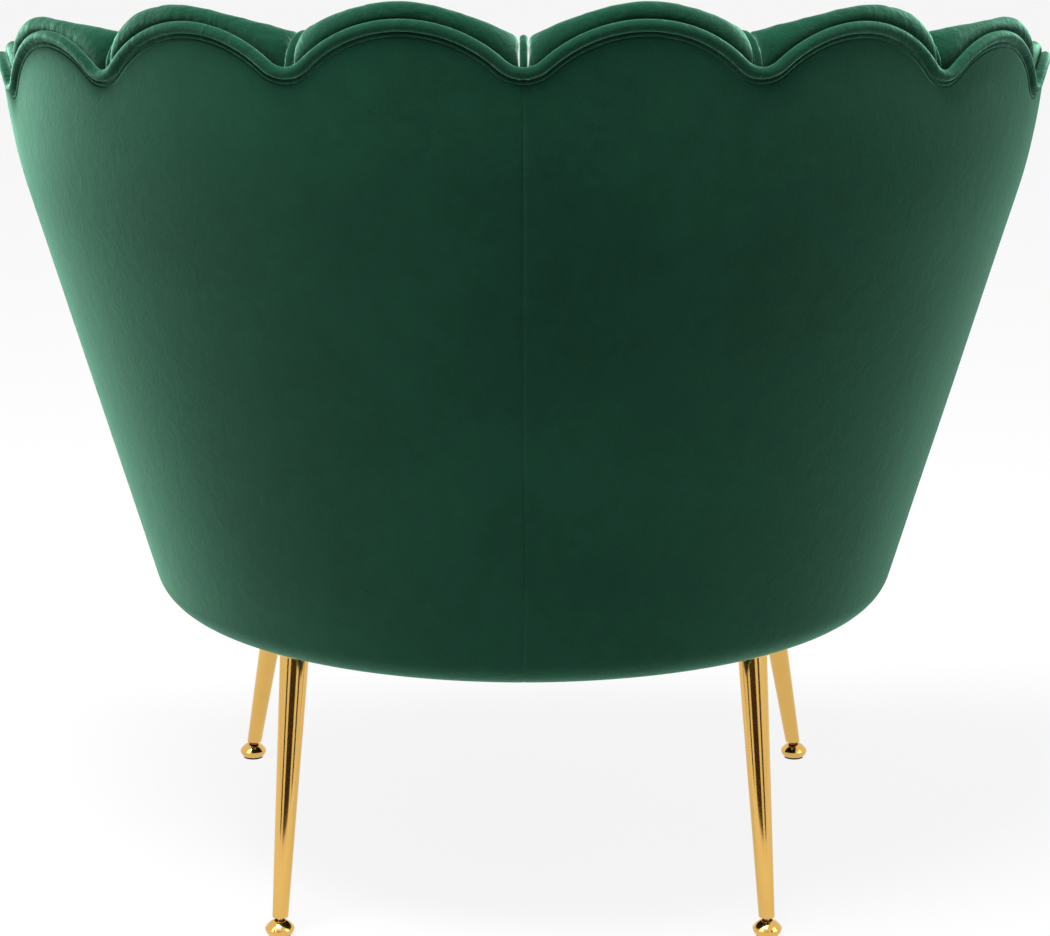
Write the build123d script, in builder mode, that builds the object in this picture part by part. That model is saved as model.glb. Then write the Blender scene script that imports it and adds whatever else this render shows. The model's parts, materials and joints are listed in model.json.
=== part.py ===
"""Scallop-backed tub armchair on four splayed legs with levelling feet.

Frame: +Z is up, the sitter faces -Y and the sitter's left is +X. The origin lies on the floor,
under the middle of the chair. Lengths are in millimetres and angles in degrees.
"""

import os
from math import atan2, cos, floor, hypot, pi, radians, sin, sqrt, tan

from build123d import *

os.makedirs("parts", exist_ok=True)

# Fits
layer_gap = 0.3            # between upholstery layers and between wooden pieces
thread_gap = 0.15          # between a thread and its bore, on the radius
ball_gap = 0.3             # between a foot's ball and its socket

# Outer cover: a wall that leans outward, then bends upright below the rim
rim_radius = 396.0         # outside of the cover at the rim, from the axis of the round back
bend_radius = 393.0        # bend from the lean into the upright rim
bend_top = 651.0           # height above which the cover is upright
lean = 16.55               # lean of the cover below the bend
base_height = 211.0        # underside of the upholstered body
base_edge_radius = 31.0    # rounded lower edge of the cover
cover_thickness = 3.0

# Scalloped rim
petal_angle = 23.95        # part of the round back that one petal takes up
round_petals = 4           # petals on the round back, on each side of the rear centre
valley_height = 663.5      # cover's edge in the valley at the rear centre
rim_slope = 0.12           # fall of the rim per millimetre forward, at the rear
rim_sag = 0.0002           # growth of that slope
scallop_rise = 33.0        # from the valleys up to the peaks of the cover's edge
valley_round = 30.0        # radius of the edge in the valleys
arm_rise = 11.0            # peak of the arm's edge above the last valley
arm_nose_radius = 130.0    # edge where the arm turns down at its front

# Edge cords
ridge_diameter = 3.0       # thin rolled ridge on the cover's edge
welt_diameter = 8.4        # thick welt above the ridge
piping_diameter = 5.6      # cord between neighbouring petals
piping_tuck = 4.0          # how far that cord goes down behind the cover's edge
piping_room = 1.6          # room between that cord and the welt where the two cross
piping_sink = 2.0          # how far that cord lies below the petals' crests

# Back frame
lining_thickness = 2.0     # board behind the cover
frame_depth = 22.0         # ribs and rails, through the wall
frame_drop = 8.0           # top of the rim rail below the cover's edge
rim_rail_height = 52.0
waist_rise = 219.0         # underside of the waist rail above the body's underside
waist_rail_height = 32.0
rib_width = 24.0
webbing_thickness = 1.2    # cloth between the frame and the petals

# Petals
petal_crown = 46.0         # padding in the middle of a petal
petal_edge = 14.0          # padding at its sewn sides
petal_foot = 24.0          # padding at its lower edge, in the middle
petal_foot_edge = 10.0
petal_bulge = 12.0         # swell of the face towards the sitter, in the middle
petal_bulge_edge = 2.0
crest_rise = 22.8          # crest of the roll above the cover's edge, in the middle
crest_valley_rise = 28.2   # the same in the valley at the rear centre
crest_valley_growth = 3.6  # and more than that in the first two valleys on each side
crest_power = 1.8          # how fast the crest falls from the middle to the valleys
crest_skew = 0.22          # shift of its highest place forward, on the second and third petal
roll_depth = 6.9           # where the roll starts, behind the cover's face
roll_start = 8.0           # and above the cover's edge
roll_reach = 3.2           # from there in to the crest, in the middle
roll_valley_reach = 28.0   # the same in the valleys
roll_arm_reach = 13.8      # and along the arms
arm_roll_reach = 15.0      # how far the arm petal covers the front of the wall

# Seat
deck_rise = 107.0          # top of the seat deck above the body's underside
deck_thickness = 3.4
rail_thickness = 22.0
rail_clearance = 9.9       # between the feet of the ribs and the seat ring
board_thickness = 18.0
board_edge = 12.0          # chamfer that follows the cover's rounded edge
block_leg = 45.0           # corner blocks, along each rail
block_drop = 13.4          # top of the blocks below that of the rails
seat_gap = 1.0             # between the cushion and the petals
cushion_height = 92.0      # border of the cushion, without its crown
cushion_crown = 26.0
crown_run = 150.0          # from the seam in to where the crown levels out
crown_steps = 8
cushion_tuck = 14.0        # draw-in of the border at the seams
cushion_front = 285.0      # from the axis of the round back
cushion_corner = 70.0
cushion_bulge = 40.0       # how far the cushion's front swells forward of its corners
front_bulge = 46.0         # the same for the front border,
deck_bulge = 38.0          # the deck
board_bulge = 36.0         # and the base board
border_thickness = 3.0

# Seat springs
spring_count = 5
spring_margin = 33.0       # beside the outer springs, in the seat ring
spring_wire = 3.8
spring_pitch = 34.0
spring_half_width = 18.0   # straight part of a bar, on each side
clip_size = (30.0, 14.0, 8.0)

# Legs and feet
leg_bearing = 43.85        # of a rear leg's top from the rear centre, round the back's axis
leg_inset_rear = 23.98     # from the base board's edge in to a rear leg's top
leg_inset_front = 58.25    # the same for a front leg
leg_setback = 51.08        # of a front leg's top from the arm's front
splay_rear = (11.0, 42.0)  # from a rear leg's top to its foot: outward, rearward
splay_front = (33.8, -42.1)
leg_end_height = 14.6
leg_top_diameter = 22.0
leg_end_diameter = 12.0
leg_wall = 1.5
plate_diameter = 58.0
plate_shift = 16.0         # plate's centre from the leg's, towards the back's axis
plate_thickness = 3.0
plug_length = 24.0
stem_diameter = 6.0
stem_neck_diameter = 4.4
stem_length = 22.0         # thread above the leg's end
ball_diameter = 7.6
ball_height = 7.6
bell_diameter = 22.0
bell_waist = 6.6           # height of the widest part
bell_top = 12.6
bell_top_diameter = 9.0
bell_foot_diameter = 17.0
bell_lip = 0.8             # wall of the bell at its mouth
pad_diameter = 16.0
pad_thickness = 2.4
pad_recess = 1.0           # how far the pad sits up inside the bell
screw_diameter = 4.0
screw_head_diameter = 8.0
screw_head_height = 2.2
screw_length = 16.0        # under the head
screw_circle = 20.0        # from the leg's centre
screw_spread = 80.0        # angle between the inner screw and each of the other two
dust_cover_thickness = 1.0

# Sizes that follow from those above
deck_height = base_height + deck_rise
waist_height = base_height + waist_rise
arm_angle = petal_angle * round_petals
petal_pitch = rim_radius * radians(petal_angle)
round_length = petal_pitch * round_petals
lining_depth = cover_thickness + layer_gap
frame_out = lining_depth + lining_thickness + layer_gap
frame_in = frame_out + frame_depth
webbing_depth = frame_in + layer_gap
petal_back = webbing_depth + webbing_thickness + layer_gap
back_reach = rim_radius + welt_diameter / 2
axis_y = (cushion_front - back_reach) / 2
back_axis = Axis((0, axis_y, 0), (0, 0, 1))
board_bottom = base_height + cover_thickness + layer_gap
board_top = board_bottom + board_thickness
rail_bottom = board_top + layer_gap
rail_top = deck_height - deck_thickness - layer_gap - clip_size[2] - layer_gap
petal_bottom = deck_height + layer_gap
cord_room = welt_diameter / 2 + 2 * layer_gap
cutter_inside = 66.0       # reach of the cutters over the round back, in from the rim
cutter_outside = 164.0     # and out from it
cutter_inner = rim_radius - cutter_inside
cutter_outer = rim_radius + cutter_outside
arm_cutter_inner = 120.0
cutter_top = 900.0
cutter_ahead = 300.0


def keep(piece, name):
    """Label a finished piece and write it."""
    piece.part.label = name
    export_step(piece.part, f"parts/{name}.step")


# The wall, in section: radius from the back's axis, and height
def bend_start(depth):
    """Height where the leaning line meets the bend, at a depth inside the cover."""
    return bend_top - (bend_radius - depth) * sin(radians(lean))


def wall_radius(height, depth):
    """Radius of the wall's layer at a depth inside the cover."""
    bend_centre = rim_radius - bend_radius
    radius = bend_radius - depth
    if height >= bend_top:
        return rim_radius - depth
    if height >= bend_start(depth):
        return bend_centre + sqrt(radius**2 - (bend_top - height) ** 2)
    foot = bend_centre + radius * cos(radians(lean))
    return foot - (bend_start(depth) - height) * tan(radians(lean))


def wall_point(height, depth):
    """Point of a section at a height and depth."""
    return (wall_radius(height, depth), height)


def wall_edge(depth, low, high):
    """Draw the line of the wall at one depth between two heights."""
    start = bend_start(depth)
    if low < start:
        Line(wall_point(low, depth), wall_point(min(high, start), depth))
    if low < bend_top and high > start:
        first = max(low, start)
        last = min(high, bend_top)
        ThreePointArc(
            wall_point(first, depth),
            wall_point((first + last) / 2, depth),
            wall_point(last, depth),
        )
    if high > bend_top:
        Line(wall_point(max(low, bend_top), depth), wall_point(high, depth))


def wall_layer(outside, inside, low, high):
    """Face of a wall layer between two depths and two heights, in the current sketch."""
    with BuildLine() as outline:
        wall_edge(outside, low, high)
        wall_edge(inside, low, high)
        Line(wall_point(low, outside), wall_point(low, inside))
        Line(wall_point(high, outside), wall_point(high, inside))
    make_face(outline.edges())


def section_plane(along):
    """Upright plane across the wall, at a distance along the rim from the rear centre."""
    angle = radians(min(arm_angle, along / petal_pitch * petal_angle))
    plane = Plane((0, axis_y, 0), x_dir=(sin(angle), cos(angle), 0), z_dir=(cos(angle), -sin(angle), 0))
    return plane.offset(max(0.0, along - round_length))


def on_wall(along, height, depth):
    """Point in space on the wall's layer."""
    return section_plane(along).from_local_coords((wall_radius(height, depth), height, 0))


# The scalloped edge, unrolled: distance along the rim, and height
def forward_of_rear(along):
    """How far forward of the rear-most point of the rim a place lies."""
    angle = radians(min(arm_angle, along / petal_pitch * petal_angle))
    straight = max(0.0, along - round_length)
    return rim_radius * (1 - cos(angle)) + straight * sin(radians(arm_angle))


def valley_centre(index):
    """Centre of the rounding in a valley, counted from the rear centre."""
    along = petal_pitch * index
    forward = forward_of_rear(along)
    bottom = valley_height - rim_slope * forward - rim_sag * forward**2
    return (along, bottom + valley_round)


def arch(index):
    """Centre and radius of the arc over a petal."""
    left = valley_centre(index)
    if index == round_petals:
        middle = left[1] - valley_round + arm_rise - arm_nose_radius
        reach = arm_nose_radius + valley_round
        return (left[0] + sqrt(reach**2 - (left[1] - middle) ** 2), middle), arm_nose_radius
    right = valley_centre(index + 1)
    half = hypot(right[0] - left[0], right[1] - left[1]) / 2
    tilt = atan2(right[1] - left[1], right[0] - left[0])
    below = (half**2 - scallop_rise**2) / (2 * scallop_rise)
    along = (left[0] + right[0]) / 2 + below * sin(tilt)
    height = (left[1] + right[1]) / 2 - below * cos(tilt)
    return (along, height), scallop_rise - valley_round + below


arm_centre, arm_radius = arch(round_petals)
arm_front = arm_centre[0] + arm_radius
arm_run = arm_front - round_length


def valley_points(index, other, outset):
    """Valley's lowest point, a point on its rounding, and where that meets a neighbouring arc."""
    centre = valley_centre(index)
    peak, _ = arch(other)
    angle = atan2(peak[1] - centre[1], peak[0] - centre[0])
    radius = valley_round - outset
    angles = (-pi / 2, (angle - pi / 2) / 2, angle)
    return [(centre[0] + radius * cos(a), centre[1] + radius * sin(a)) for a in angles]


def arch_point(index, along, outset):
    """Point of a petal's arc above a place on the rim."""
    centre, radius = arch(index)
    return (along, centre[1] + sqrt((radius + outset) ** 2 - (along - centre[0]) ** 2))


def edge_height(index, along):
    """Height of the cover's edge above a place on the rim."""
    left = valley_points(index, index, 0)
    if along < left[2][0]:
        centre = valley_centre(index)
        return centre[1] - sqrt(valley_round**2 - (along - centre[0]) ** 2)
    if index == round_petals:
        return arch_point(index, min(along, arm_front), 0)[1]
    if along > valley_points(index + 1, index, 0)[2][0]:
        centre = valley_centre(index + 1)
        return centre[1] - sqrt(valley_round**2 - (along - centre[0]) ** 2)
    return arch_point(index, along, 0)[1]


def above_edge(index, outset, place):
    """Face of all that lies above a petal's edge; place turns unrolled points into sketch points."""
    left = valley_points(index, index, outset)
    centre, radius = arch(index)
    with BuildLine() as outline:
        ThreePointArc(*[place(p) for p in left])
        if index == round_petals:
            nose = (centre[0] + radius + outset, centre[1])
            middle = arch_point(index, centre[0] + (radius + outset) * sin(radians(45)), outset)
            ThreePointArc(place(left[2]), place(middle), place(nose))
            low = (nose[0], 0.0)
            ahead = (nose[0] + cutter_ahead, 0.0)
            top = (ahead[0], cutter_top)
            Polyline(*[place(p) for p in (nose, low, ahead, top, (left[0][0], cutter_top), left[0])])
        else:
            right = valley_points(index + 1, index, outset)
            middle = arch_point(index, (left[0][0] + right[0][0]) / 2, outset)
            ThreePointArc(place(left[2]), place(middle), place(right[2]))
            ThreePointArc(*[place(p) for p in right])
            corners = (right[0], (right[0][0], cutter_top), (left[0][0], cutter_top), left[0])
            Polyline(*[place(p) for p in corners])
    make_face(outline.edges())


def scallop_cutter(outset):
    """All that lies above the rim on both sides, with the edge moved outward by an outset."""
    with BuildPart() as cutter:
        for index in range(round_petals):
            middle = petal_angle * (index + 0.5)
            out = Vector(sin(radians(middle)), cos(radians(middle)), 0)
            for reach in (cutter_inner, cutter_outer):

                def fan(point):
                    """Spread the edge in proportion to the distance from the back's axis."""
                    angle = point[0] / petal_pitch * petal_angle - middle
                    return (reach * tan(radians(angle)), point[1])

                face = Plane(Vector(0, axis_y, 0) + out * reach, x_dir=(out.Y, -out.X, 0), z_dir=-out)
                with BuildSketch(face):
                    above_edge(index, outset, fan)
            loft(ruled=True)
        end = section_plane(round_length)
        face = Plane(end.origin + end.x_dir * cutter_outer, x_dir=end.z_dir, z_dir=-end.x_dir)
        with BuildSketch(face):
            above_edge(round_petals, outset, lambda point: (point[0] - round_length, point[1]))
        extrude(amount=cutter_outer - arm_cutter_inner)
        mirror(about=Plane.YZ)
    return cutter.part


def edge_path(outset, depth, lowest):
    """Points of a cord on the left half of the rim, from the rear centre down the arm's front."""
    arc_steps = 6
    path = []
    for index in range(round_petals + 1):
        left = valley_points(index, index, outset)
        path += [left[0], left[2]]
        centre, radius = arch(index)
        first = atan2(left[2][0] - centre[0], left[2][1] - centre[1])
        last = pi / 2
        if index < round_petals:
            right = valley_points(index + 1, index, outset)
            last = atan2(right[2][0] - centre[0], right[2][1] - centre[1])
        for step in range(1, arc_steps + 1):
            turn = first + (last - first) * step / arc_steps
            reach = radius + outset
            path.append((centre[0] + reach * sin(turn), centre[1] + reach * cos(turn)))
    path.append((arm_front + outset, lowest))
    return [on_wall(along, height, depth) for along, height in path]


def edge_cord(points, diameter):
    """Round cord along the rim, both halves, in the current part."""
    direction = Vector(1, 0, 0)
    with BuildLine() as path:
        for start, end in zip(points, points[1:]):
            arc = TangentArc(start, end, tangent=direction)
            direction = arc % 1
    with BuildSketch(Plane(points[0], z_dir=(1, 0, 0))) as section:
        Circle(diameter / 2)
    sweep(section.sketch, path=path.wires()[0])
    mirror(about=Plane.YZ)


def round_wall(end, run=arm_run):
    """Carry a section at the rear end of the left arm along both arms and round the back."""
    extrude(amount=run)
    mirror(about=Plane.YZ)
    revolve(end.sketch, axis=back_axis, revolution_arc=2 * arm_angle)


def tub_outline(radius, run, bulge):
    """Face with a round back, straight sides that close in forward, and a curved front."""
    side = section_plane(round_length)
    corner = side.from_local_coords((radius, 0, run))
    rear = side.from_local_coords((radius, 0, 0))
    with BuildLine() as outline:
        ThreePointArc((rear.X, rear.Y), (0, axis_y + radius), (-rear.X, rear.Y))
        Line((rear.X, rear.Y), (corner.X, corner.Y))
        Line((-rear.X, rear.Y), (-corner.X, corner.Y))
        ThreePointArc((corner.X, corner.Y), (0, corner.Y - bulge), (-corner.X, corner.Y))
    make_face(outline.edges())


# Cutters shared by the layers of the wall
edge_cut = scallop_cutter(0.0)
frame_cut = scallop_cutter(-frame_drop)
rib_cut = scallop_cutter(-frame_drop - rim_rail_height - layer_gap)
rail_under_cut = scallop_cutter(-frame_drop - rim_rail_height)

# Outer cover, left half, with its rounded lower edge
edge_centre_height = base_height + base_edge_radius
edge_centre_radius = wall_radius(edge_centre_height, base_edge_radius)
with BuildPart() as cover_left:
    with BuildSketch(section_plane(round_length)) as cover_end:
        with BuildLine():
            for depth in (0.0, cover_thickness):
                swing = base_edge_radius - depth
                stops = [radians(a) for a in (-90, -45 - lean / 2, -lean)]
                arc_points = [
                    (edge_centre_radius + swing * cos(a), edge_centre_height + swing * sin(a)) for a in stops
                ]
                ThreePointArc(*arc_points)
                Line(arc_points[-1], wall_point(bend_start(depth), depth))
                wall_edge(depth, bend_start(depth), cutter_top)
            Line((edge_centre_radius, base_height), (edge_centre_radius, base_height + cover_thickness))
            Line(wall_point(cutter_top, 0.0), wall_point(cutter_top, cover_thickness))
        make_face()
    extrude(amount=arm_run)
    revolve(cover_end.sketch, axis=back_axis, revolution_arc=arm_angle)
    add(edge_cut, mode=Mode.SUBTRACT)
keep(cover_left, "outer_cover_left")

with BuildPart() as cover_right:
    mirror(cover_left.part, about=Plane.YZ)
keep(cover_right, "outer_cover_right")

# Cords along the cover's edge
ridge_outset = layer_gap + ridge_diameter / 2
welt_outset = 2 * layer_gap + ridge_diameter + welt_diameter / 2
cord_low = edge_centre_height
with BuildPart() as ridge:
    edge_cord(edge_path(ridge_outset, ridge_diameter / 4, cord_low), ridge_diameter)
keep(ridge, "rim_ridge")

with BuildPart() as welt:
    edge_cord(edge_path(welt_outset, 0.0, cord_low), welt_diameter)
keep(welt, "rim_welt")

with BuildPart() as ridge_room:
    edge_cord(edge_path(ridge_outset, ridge_diameter / 4, cord_low), ridge_diameter + 2 * layer_gap)

with BuildPart() as welt_room:
    edge_cord(edge_path(welt_outset, 0.0, cord_low), welt_diameter + 2 * layer_gap)

# Back frame and linings
with BuildPart() as outer_lining:
    with BuildSketch(section_plane(round_length)) as end:
        wall_layer(lining_depth, lining_depth + lining_thickness, rail_bottom, cutter_top)
    round_wall(end)
    add(frame_cut, mode=Mode.SUBTRACT)
keep(outer_lining, "outer_lining")

with BuildPart() as inner_lining:
    with BuildSketch(section_plane(round_length)) as end:
        wall_layer(webbing_depth, webbing_depth + webbing_thickness, rail_top, cutter_top)
    round_wall(end)
    add(frame_cut, mode=Mode.SUBTRACT)
keep(inner_lining, "inner_lining")

with BuildPart() as rim_rail_block:
    with BuildSketch(section_plane(round_length)) as end:
        wall_layer(frame_out, frame_in, rail_bottom, cutter_top)
    round_wall(end)
    add(frame_cut, mode=Mode.SUBTRACT)

with BuildPart() as rim_rail:
    add(rim_rail_block.part)
    add(rail_under_cut, mode=Mode.INTERSECT)
keep(rim_rail, "rim_rail")

with BuildPart() as waist_rail:
    with BuildSketch(section_plane(round_length)) as end:
        wall_layer(frame_out, frame_in, waist_height, waist_height + waist_rail_height)
    round_wall(end)
    add(rib_cut, mode=Mode.SUBTRACT)
keep(waist_rail, "waist_rail")

rib_places = [petal_pitch * index for index in range(round_petals + 1)]


def ribs(low, high):
    """Upright ribs behind the valleys, between two heights."""
    for along in rib_places:
        with BuildSketch(section_plane(along)) as section:
            wall_layer(frame_out, frame_in, low, high)
        extrude(section.sketch, amount=rib_width / 2, both=True)
    add(rib_cut, mode=Mode.SUBTRACT)
    mirror(about=Plane.YZ)


with BuildPart() as lower_ribs:
    ribs(rail_bottom, waist_height - layer_gap)
keep(lower_ribs, "lower_ribs")

with BuildPart() as upper_ribs:
    ribs(waist_height + waist_rail_height + layer_gap, cutter_top)
keep(upper_ribs, "upper_ribs")

# Petals: padded channels that stand on the seat deck and roll over the rim
with BuildPart() as wall_room:
    with BuildSketch(section_plane(round_length)) as end:
        wall_layer(-cover_thickness, petal_back, base_height, cutter_top)
    round_wall(end)
    add(scallop_cutter(layer_gap - frame_drop), mode=Mode.SUBTRACT)

with BuildPart() as cover_room:
    with BuildSketch(section_plane(round_length)) as end:
        wall_layer(-layer_gap, lining_depth, base_height, cutter_top)
    round_wall(end)
    add(scallop_cutter(layer_gap), mode=Mode.SUBTRACT)

petal_side_gap = piping_diameter / 2 + layer_gap


def petal_profile(edge, crest, fullness, full_reach):
    """Points of a petal's face, from the deck up, and of its roll, to behind the welt."""
    padding = petal_edge + (petal_crown - petal_edge) * fullness
    foot = petal_foot_edge + (petal_foot - petal_foot_edge) * fullness
    outer = (wall_radius(edge, roll_depth), edge + roll_start)
    reach = roll_valley_reach + (full_reach - roll_valley_reach) * fullness
    top = (outer[0] - reach, crest)
    shoulder_height = crest - (top[0] - wall_radius(crest, petal_back) + padding)
    shoulder = (wall_radius(shoulder_height, petal_back) - padding, shoulder_height)
    low = (wall_radius(petal_bottom, petal_back) - foot, petal_bottom)
    bulge = petal_bulge_edge + (petal_bulge - petal_bulge_edge) * fullness
    swell = ((low[0] + shoulder[0]) / 2 - bulge, (low[1] + shoulder[1]) / 2)
    return low, swell, shoulder, top, outer


def petal_section(edge, crest, fullness, full_reach):
    """Face across a petal, in the current sketch."""
    low, swell, shoulder, top, outer = petal_profile(edge, crest, fullness, full_reach)
    back = wall_point(petal_bottom, cord_room)
    with BuildLine() as outline:
        face = ThreePointArc(low, swell, shoulder)
        roll = TangentArc(shoulder, top, tangent=face % 1)
        TangentArc(top, outer, tangent=roll % 1)
        Polyline(outer, back, low)
    make_face(outline.edges())


def valley_crest(index):
    """Height of the roll in a valley."""
    rise = crest_valley_rise + crest_valley_growth * min(index, 2)
    return valley_centre(index)[1] - valley_round + rise


def round_petal_sections(index):
    """Planes, edge heights, crest heights and fullness across a petal of the round back."""
    centre = petal_pitch * (index + 0.5)
    half = petal_pitch / 2 - petal_side_gap
    left = valley_crest(index)
    right = valley_crest(index + 1)
    middle = arch_point(index, centre, 0)[1] + crest_rise
    skew = crest_skew * min(index, 2)
    for across in (-1.0, -0.85, -0.5, 0.0, 0.5, 0.85, 1.0):
        along = centre + half * across
        level = (left + right) / 2 + (right - left) / 2 * across
        aside = abs(across - skew) / (1 - skew if across > skew else 1 + skew)
        crest = level + (middle - (left + right) / 2) * (1 - aside**crest_power)
        plane = section_plane(along)
        if across == -1.0:
            plane = section_plane(petal_pitch * index).offset(petal_side_gap)
        if across == 1.0:
            plane = section_plane(petal_pitch * (index + 1)).offset(-petal_side_gap)
        yield plane, edge_height(index, along), crest, sqrt(1 - across**2)


def arm_petal_sections():
    """The same along an arm petal, whose roll turns down at the arm's front."""
    first = round_length + petal_side_gap
    last = arm_front + arm_roll_reach
    half = petal_pitch / 2
    start = valley_crest(round_petals)
    top = arm_centre[1] + arm_radius + crest_rise
    front_round = 0.8          # share of the length where the padding starts to thin out
    front_thinning = 0.8       # loss of padding there, as a square
    for share in (0.0, 0.06, 0.2, 0.42, 0.65, 0.82, 0.93, 1.0):
        along = first + (last - first) * share
        rise = max(0.0, 1 - (along - first) / (arm_centre[0] - first))
        crest = start + (top - start) * (1 - rise**2)
        if along > arm_centre[0]:
            crest = arch_point(round_petals, along, crest_rise)[1]
        into = min(1.0, (along - first) / half)
        thin = max(0.0, share - front_round)
        fullness = sqrt(1 - (1 - into) ** 2) * sqrt(1 - front_thinning * (thin / (1 - front_round)) ** 2)
        yield section_plane(along), edge_height(round_petals, along), crest, fullness


for index in range(round_petals + 1):
    on_arm = index == round_petals
    sections = arm_petal_sections() if on_arm else round_petal_sections(index)
    with BuildPart() as petal:
        for plane, edge, crest, fullness in sections:
            with BuildSketch(plane):
                petal_section(edge, crest, fullness, roll_arm_reach if on_arm else roll_reach)
        loft()
        add(wall_room.part, mode=Mode.SUBTRACT)
        add(welt_room.part, mode=Mode.SUBTRACT)
        if on_arm:
            add(cover_room.part, mode=Mode.SUBTRACT)
            add(ridge_room.part, mode=Mode.SUBTRACT)
    # The cords' room cuts a splinter off the arm petal, which is left out.
    with BuildPart() as whole:
        add(petal.solids().sort_by(SortBy.VOLUME)[-1])
    keep(whole, f"petal_left_{index + 1}")
    with BuildPart() as twin:
        mirror(whole.part, about=Plane.YZ)
    keep(twin, f"petal_right_{index + 1}")

# Piping in the valleys between petals, from behind the welt over the roll and down to the deck
piping_depth = (welt_diameter + piping_diameter) / 2 + piping_room
piping_lift = piping_diameter / 2 * sin(radians(lean))
with BuildPart() as piping:
    for index in range(round_petals + 1):
        edge = valley_centre(index)[1] - valley_round
        low, swell, shoulder, top, outer = petal_profile(
            edge, valley_crest(index) - piping_sink, 0.0, roll_reach
        )
        low = (low[0] + piping_lift * tan(radians(lean)), low[1] + piping_lift)
        behind = wall_radius(edge, piping_depth)
        outer = (behind, top[1] - (behind - top[0]))
        tucked = (behind - piping_tuck / 4, edge - piping_tuck)
        plane = section_plane(petal_pitch * index)
        with BuildLine(plane) as path:
            face = ThreePointArc(low, swell, shoulder)
            rise = TangentArc(shoulder, top, tangent=face % 1)
            fall = TangentArc(top, outer, tangent=rise % 1)
            TangentArc(outer, tucked, tangent=fall % 1)
        with BuildSketch(Plane(path.line @ 0, z_dir=path.line % 0)):
            Circle(piping_diameter / 2)
        sweep()
    mirror(about=Plane.YZ)
keep(piping, "petal_piping")

# Seat ring on the base board: rear rail, side rails, front rail and corner blocks
rail_outer_radius = wall_radius(rail_bottom, frame_in) - rail_clearance
rail_inner_radius = rail_outer_radius - rail_thickness
rail_run = arm_run - rail_thickness
rail_side = section_plane(round_length)
joint_inner = rail_inner_radius - layer_gap


def side_point(radius, run):
    """Point in plan, from the left side's straight run."""
    point = rail_side.from_local_coords((radius, 0, run))
    return (point.X, point.Y)


def twin_of(point):
    """The same point on the right."""
    return (-point[0], point[1])


with BuildPart() as rear_rail:
    with BuildSketch(rail_side) as end:
        with Locations((rail_outer_radius - rail_thickness / 2, (rail_bottom + rail_top) / 2)):
            Rectangle(rail_thickness, rail_top - rail_bottom)
    revolve(axis=back_axis, revolution_arc=2 * arm_angle)
keep(rear_rail, "rear_rail")

with BuildPart() as side_rail:
    with BuildSketch(rail_side.offset(layer_gap)):
        with Locations((rail_outer_radius - rail_thickness / 2, (rail_bottom + rail_top) / 2)):
            Rectangle(rail_thickness, rail_top - rail_bottom)
    extrude(amount=rail_run)
keep(side_rail, "side_rail_left")

with BuildPart() as side_rail_twin:
    mirror(side_rail.part, about=Plane.YZ)
keep(side_rail_twin, "side_rail_right")

front_rail_rear = side_point(joint_inner, rail_run - rail_thickness)
front_rail_front = side_point(joint_inner, rail_run)
with BuildPart() as front_rail:
    with BuildSketch(Plane.XY.offset(rail_bottom)):
        with BuildLine():
            Polyline(
                front_rail_rear,
                front_rail_front,
                twin_of(front_rail_front),
                twin_of(front_rail_rear),
                close=True,
            )
        make_face()
    extrude(amount=rail_top - rail_bottom)
keep(front_rail, "front_rail")

block_corner = (front_rail_rear[0], front_rail_rear[1] + layer_gap)
block_side = side_point(joint_inner, rail_run - rail_thickness - layer_gap - block_leg)
with BuildPart() as corner_blocks:
    with BuildSketch(Plane.XY.offset(rail_bottom)):
        with BuildLine():
            Polyline(block_corner, block_side, (block_corner[0] - block_leg, block_corner[1]), close=True)
        make_face()
    extrude(amount=rail_top - rail_bottom - block_drop)
    mirror(about=Plane.YZ)
keep(corner_blocks, "corner_blocks")

# Sinuous springs from the front rail to the rear rail, held in clips
wire_height = rail_top + layer_gap + clip_size[2] / 2
rail_middle_radius = rail_outer_radius - rail_thickness / 2
spring_spacing = 2 * (rail_inner_radius - spring_margin) / spring_count
spring_front = (front_rail_rear[1] + front_rail_front[1]) / 2
spring_places = [spring_spacing * (k - (spring_count - 1) / 2) for k in range(spring_count)]


def spring_rear(across):
    """Where a spring ends on the rear rail."""
    return axis_y + sqrt(rail_middle_radius**2 - across**2)


with BuildPart() as springs:
    for across in spring_places:
        length = spring_rear(across) - spring_front
        bends = floor(length / spring_pitch)
        pitch = length / bends
        with BuildLine(Plane.XY.offset(wire_height)) as wire:
            for bar in range(bends + 1):
                y = spring_front + pitch * bar
                side = 1 if bar % 2 == 0 else -1
                start = across - side * spring_half_width
                stop = across + side * spring_half_width
                Line((start, y), (stop, y))
                if bar < bends:
                    ThreePointArc((stop, y), (stop + side * pitch / 2, y + pitch / 2), (stop, y + pitch))
        with BuildSketch(Plane(wire.line @ 0, z_dir=wire.line % 0)):
            Circle(spring_wire / 2)
        sweep()
keep(springs, "seat_springs")

clip_places = [(x, y) for x in spring_places for y in (spring_front, spring_rear(x))]
with BuildPart() as clips:
    with Locations(*[(x, y, wire_height) for x, y in clip_places]):
        Box(*clip_size)
        Cylinder(
            spring_wire / 2 + layer_gap / 2,
            clip_size[0],
            rotation=(0, 90, 0),
            mode=Mode.SUBTRACT,
        )
keep(clips, "spring_clips")

# Seat deck over the springs, and the cushion
deck_bottom = deck_height - deck_thickness
with BuildPart() as deck:
    with BuildSketch(Plane.XY.offset(deck_bottom)):
        tub_outline(wall_radius(deck_bottom, petal_back), arm_run, deck_bulge)
    extrude(amount=deck_thickness)
keep(deck, "seat_deck")

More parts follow.
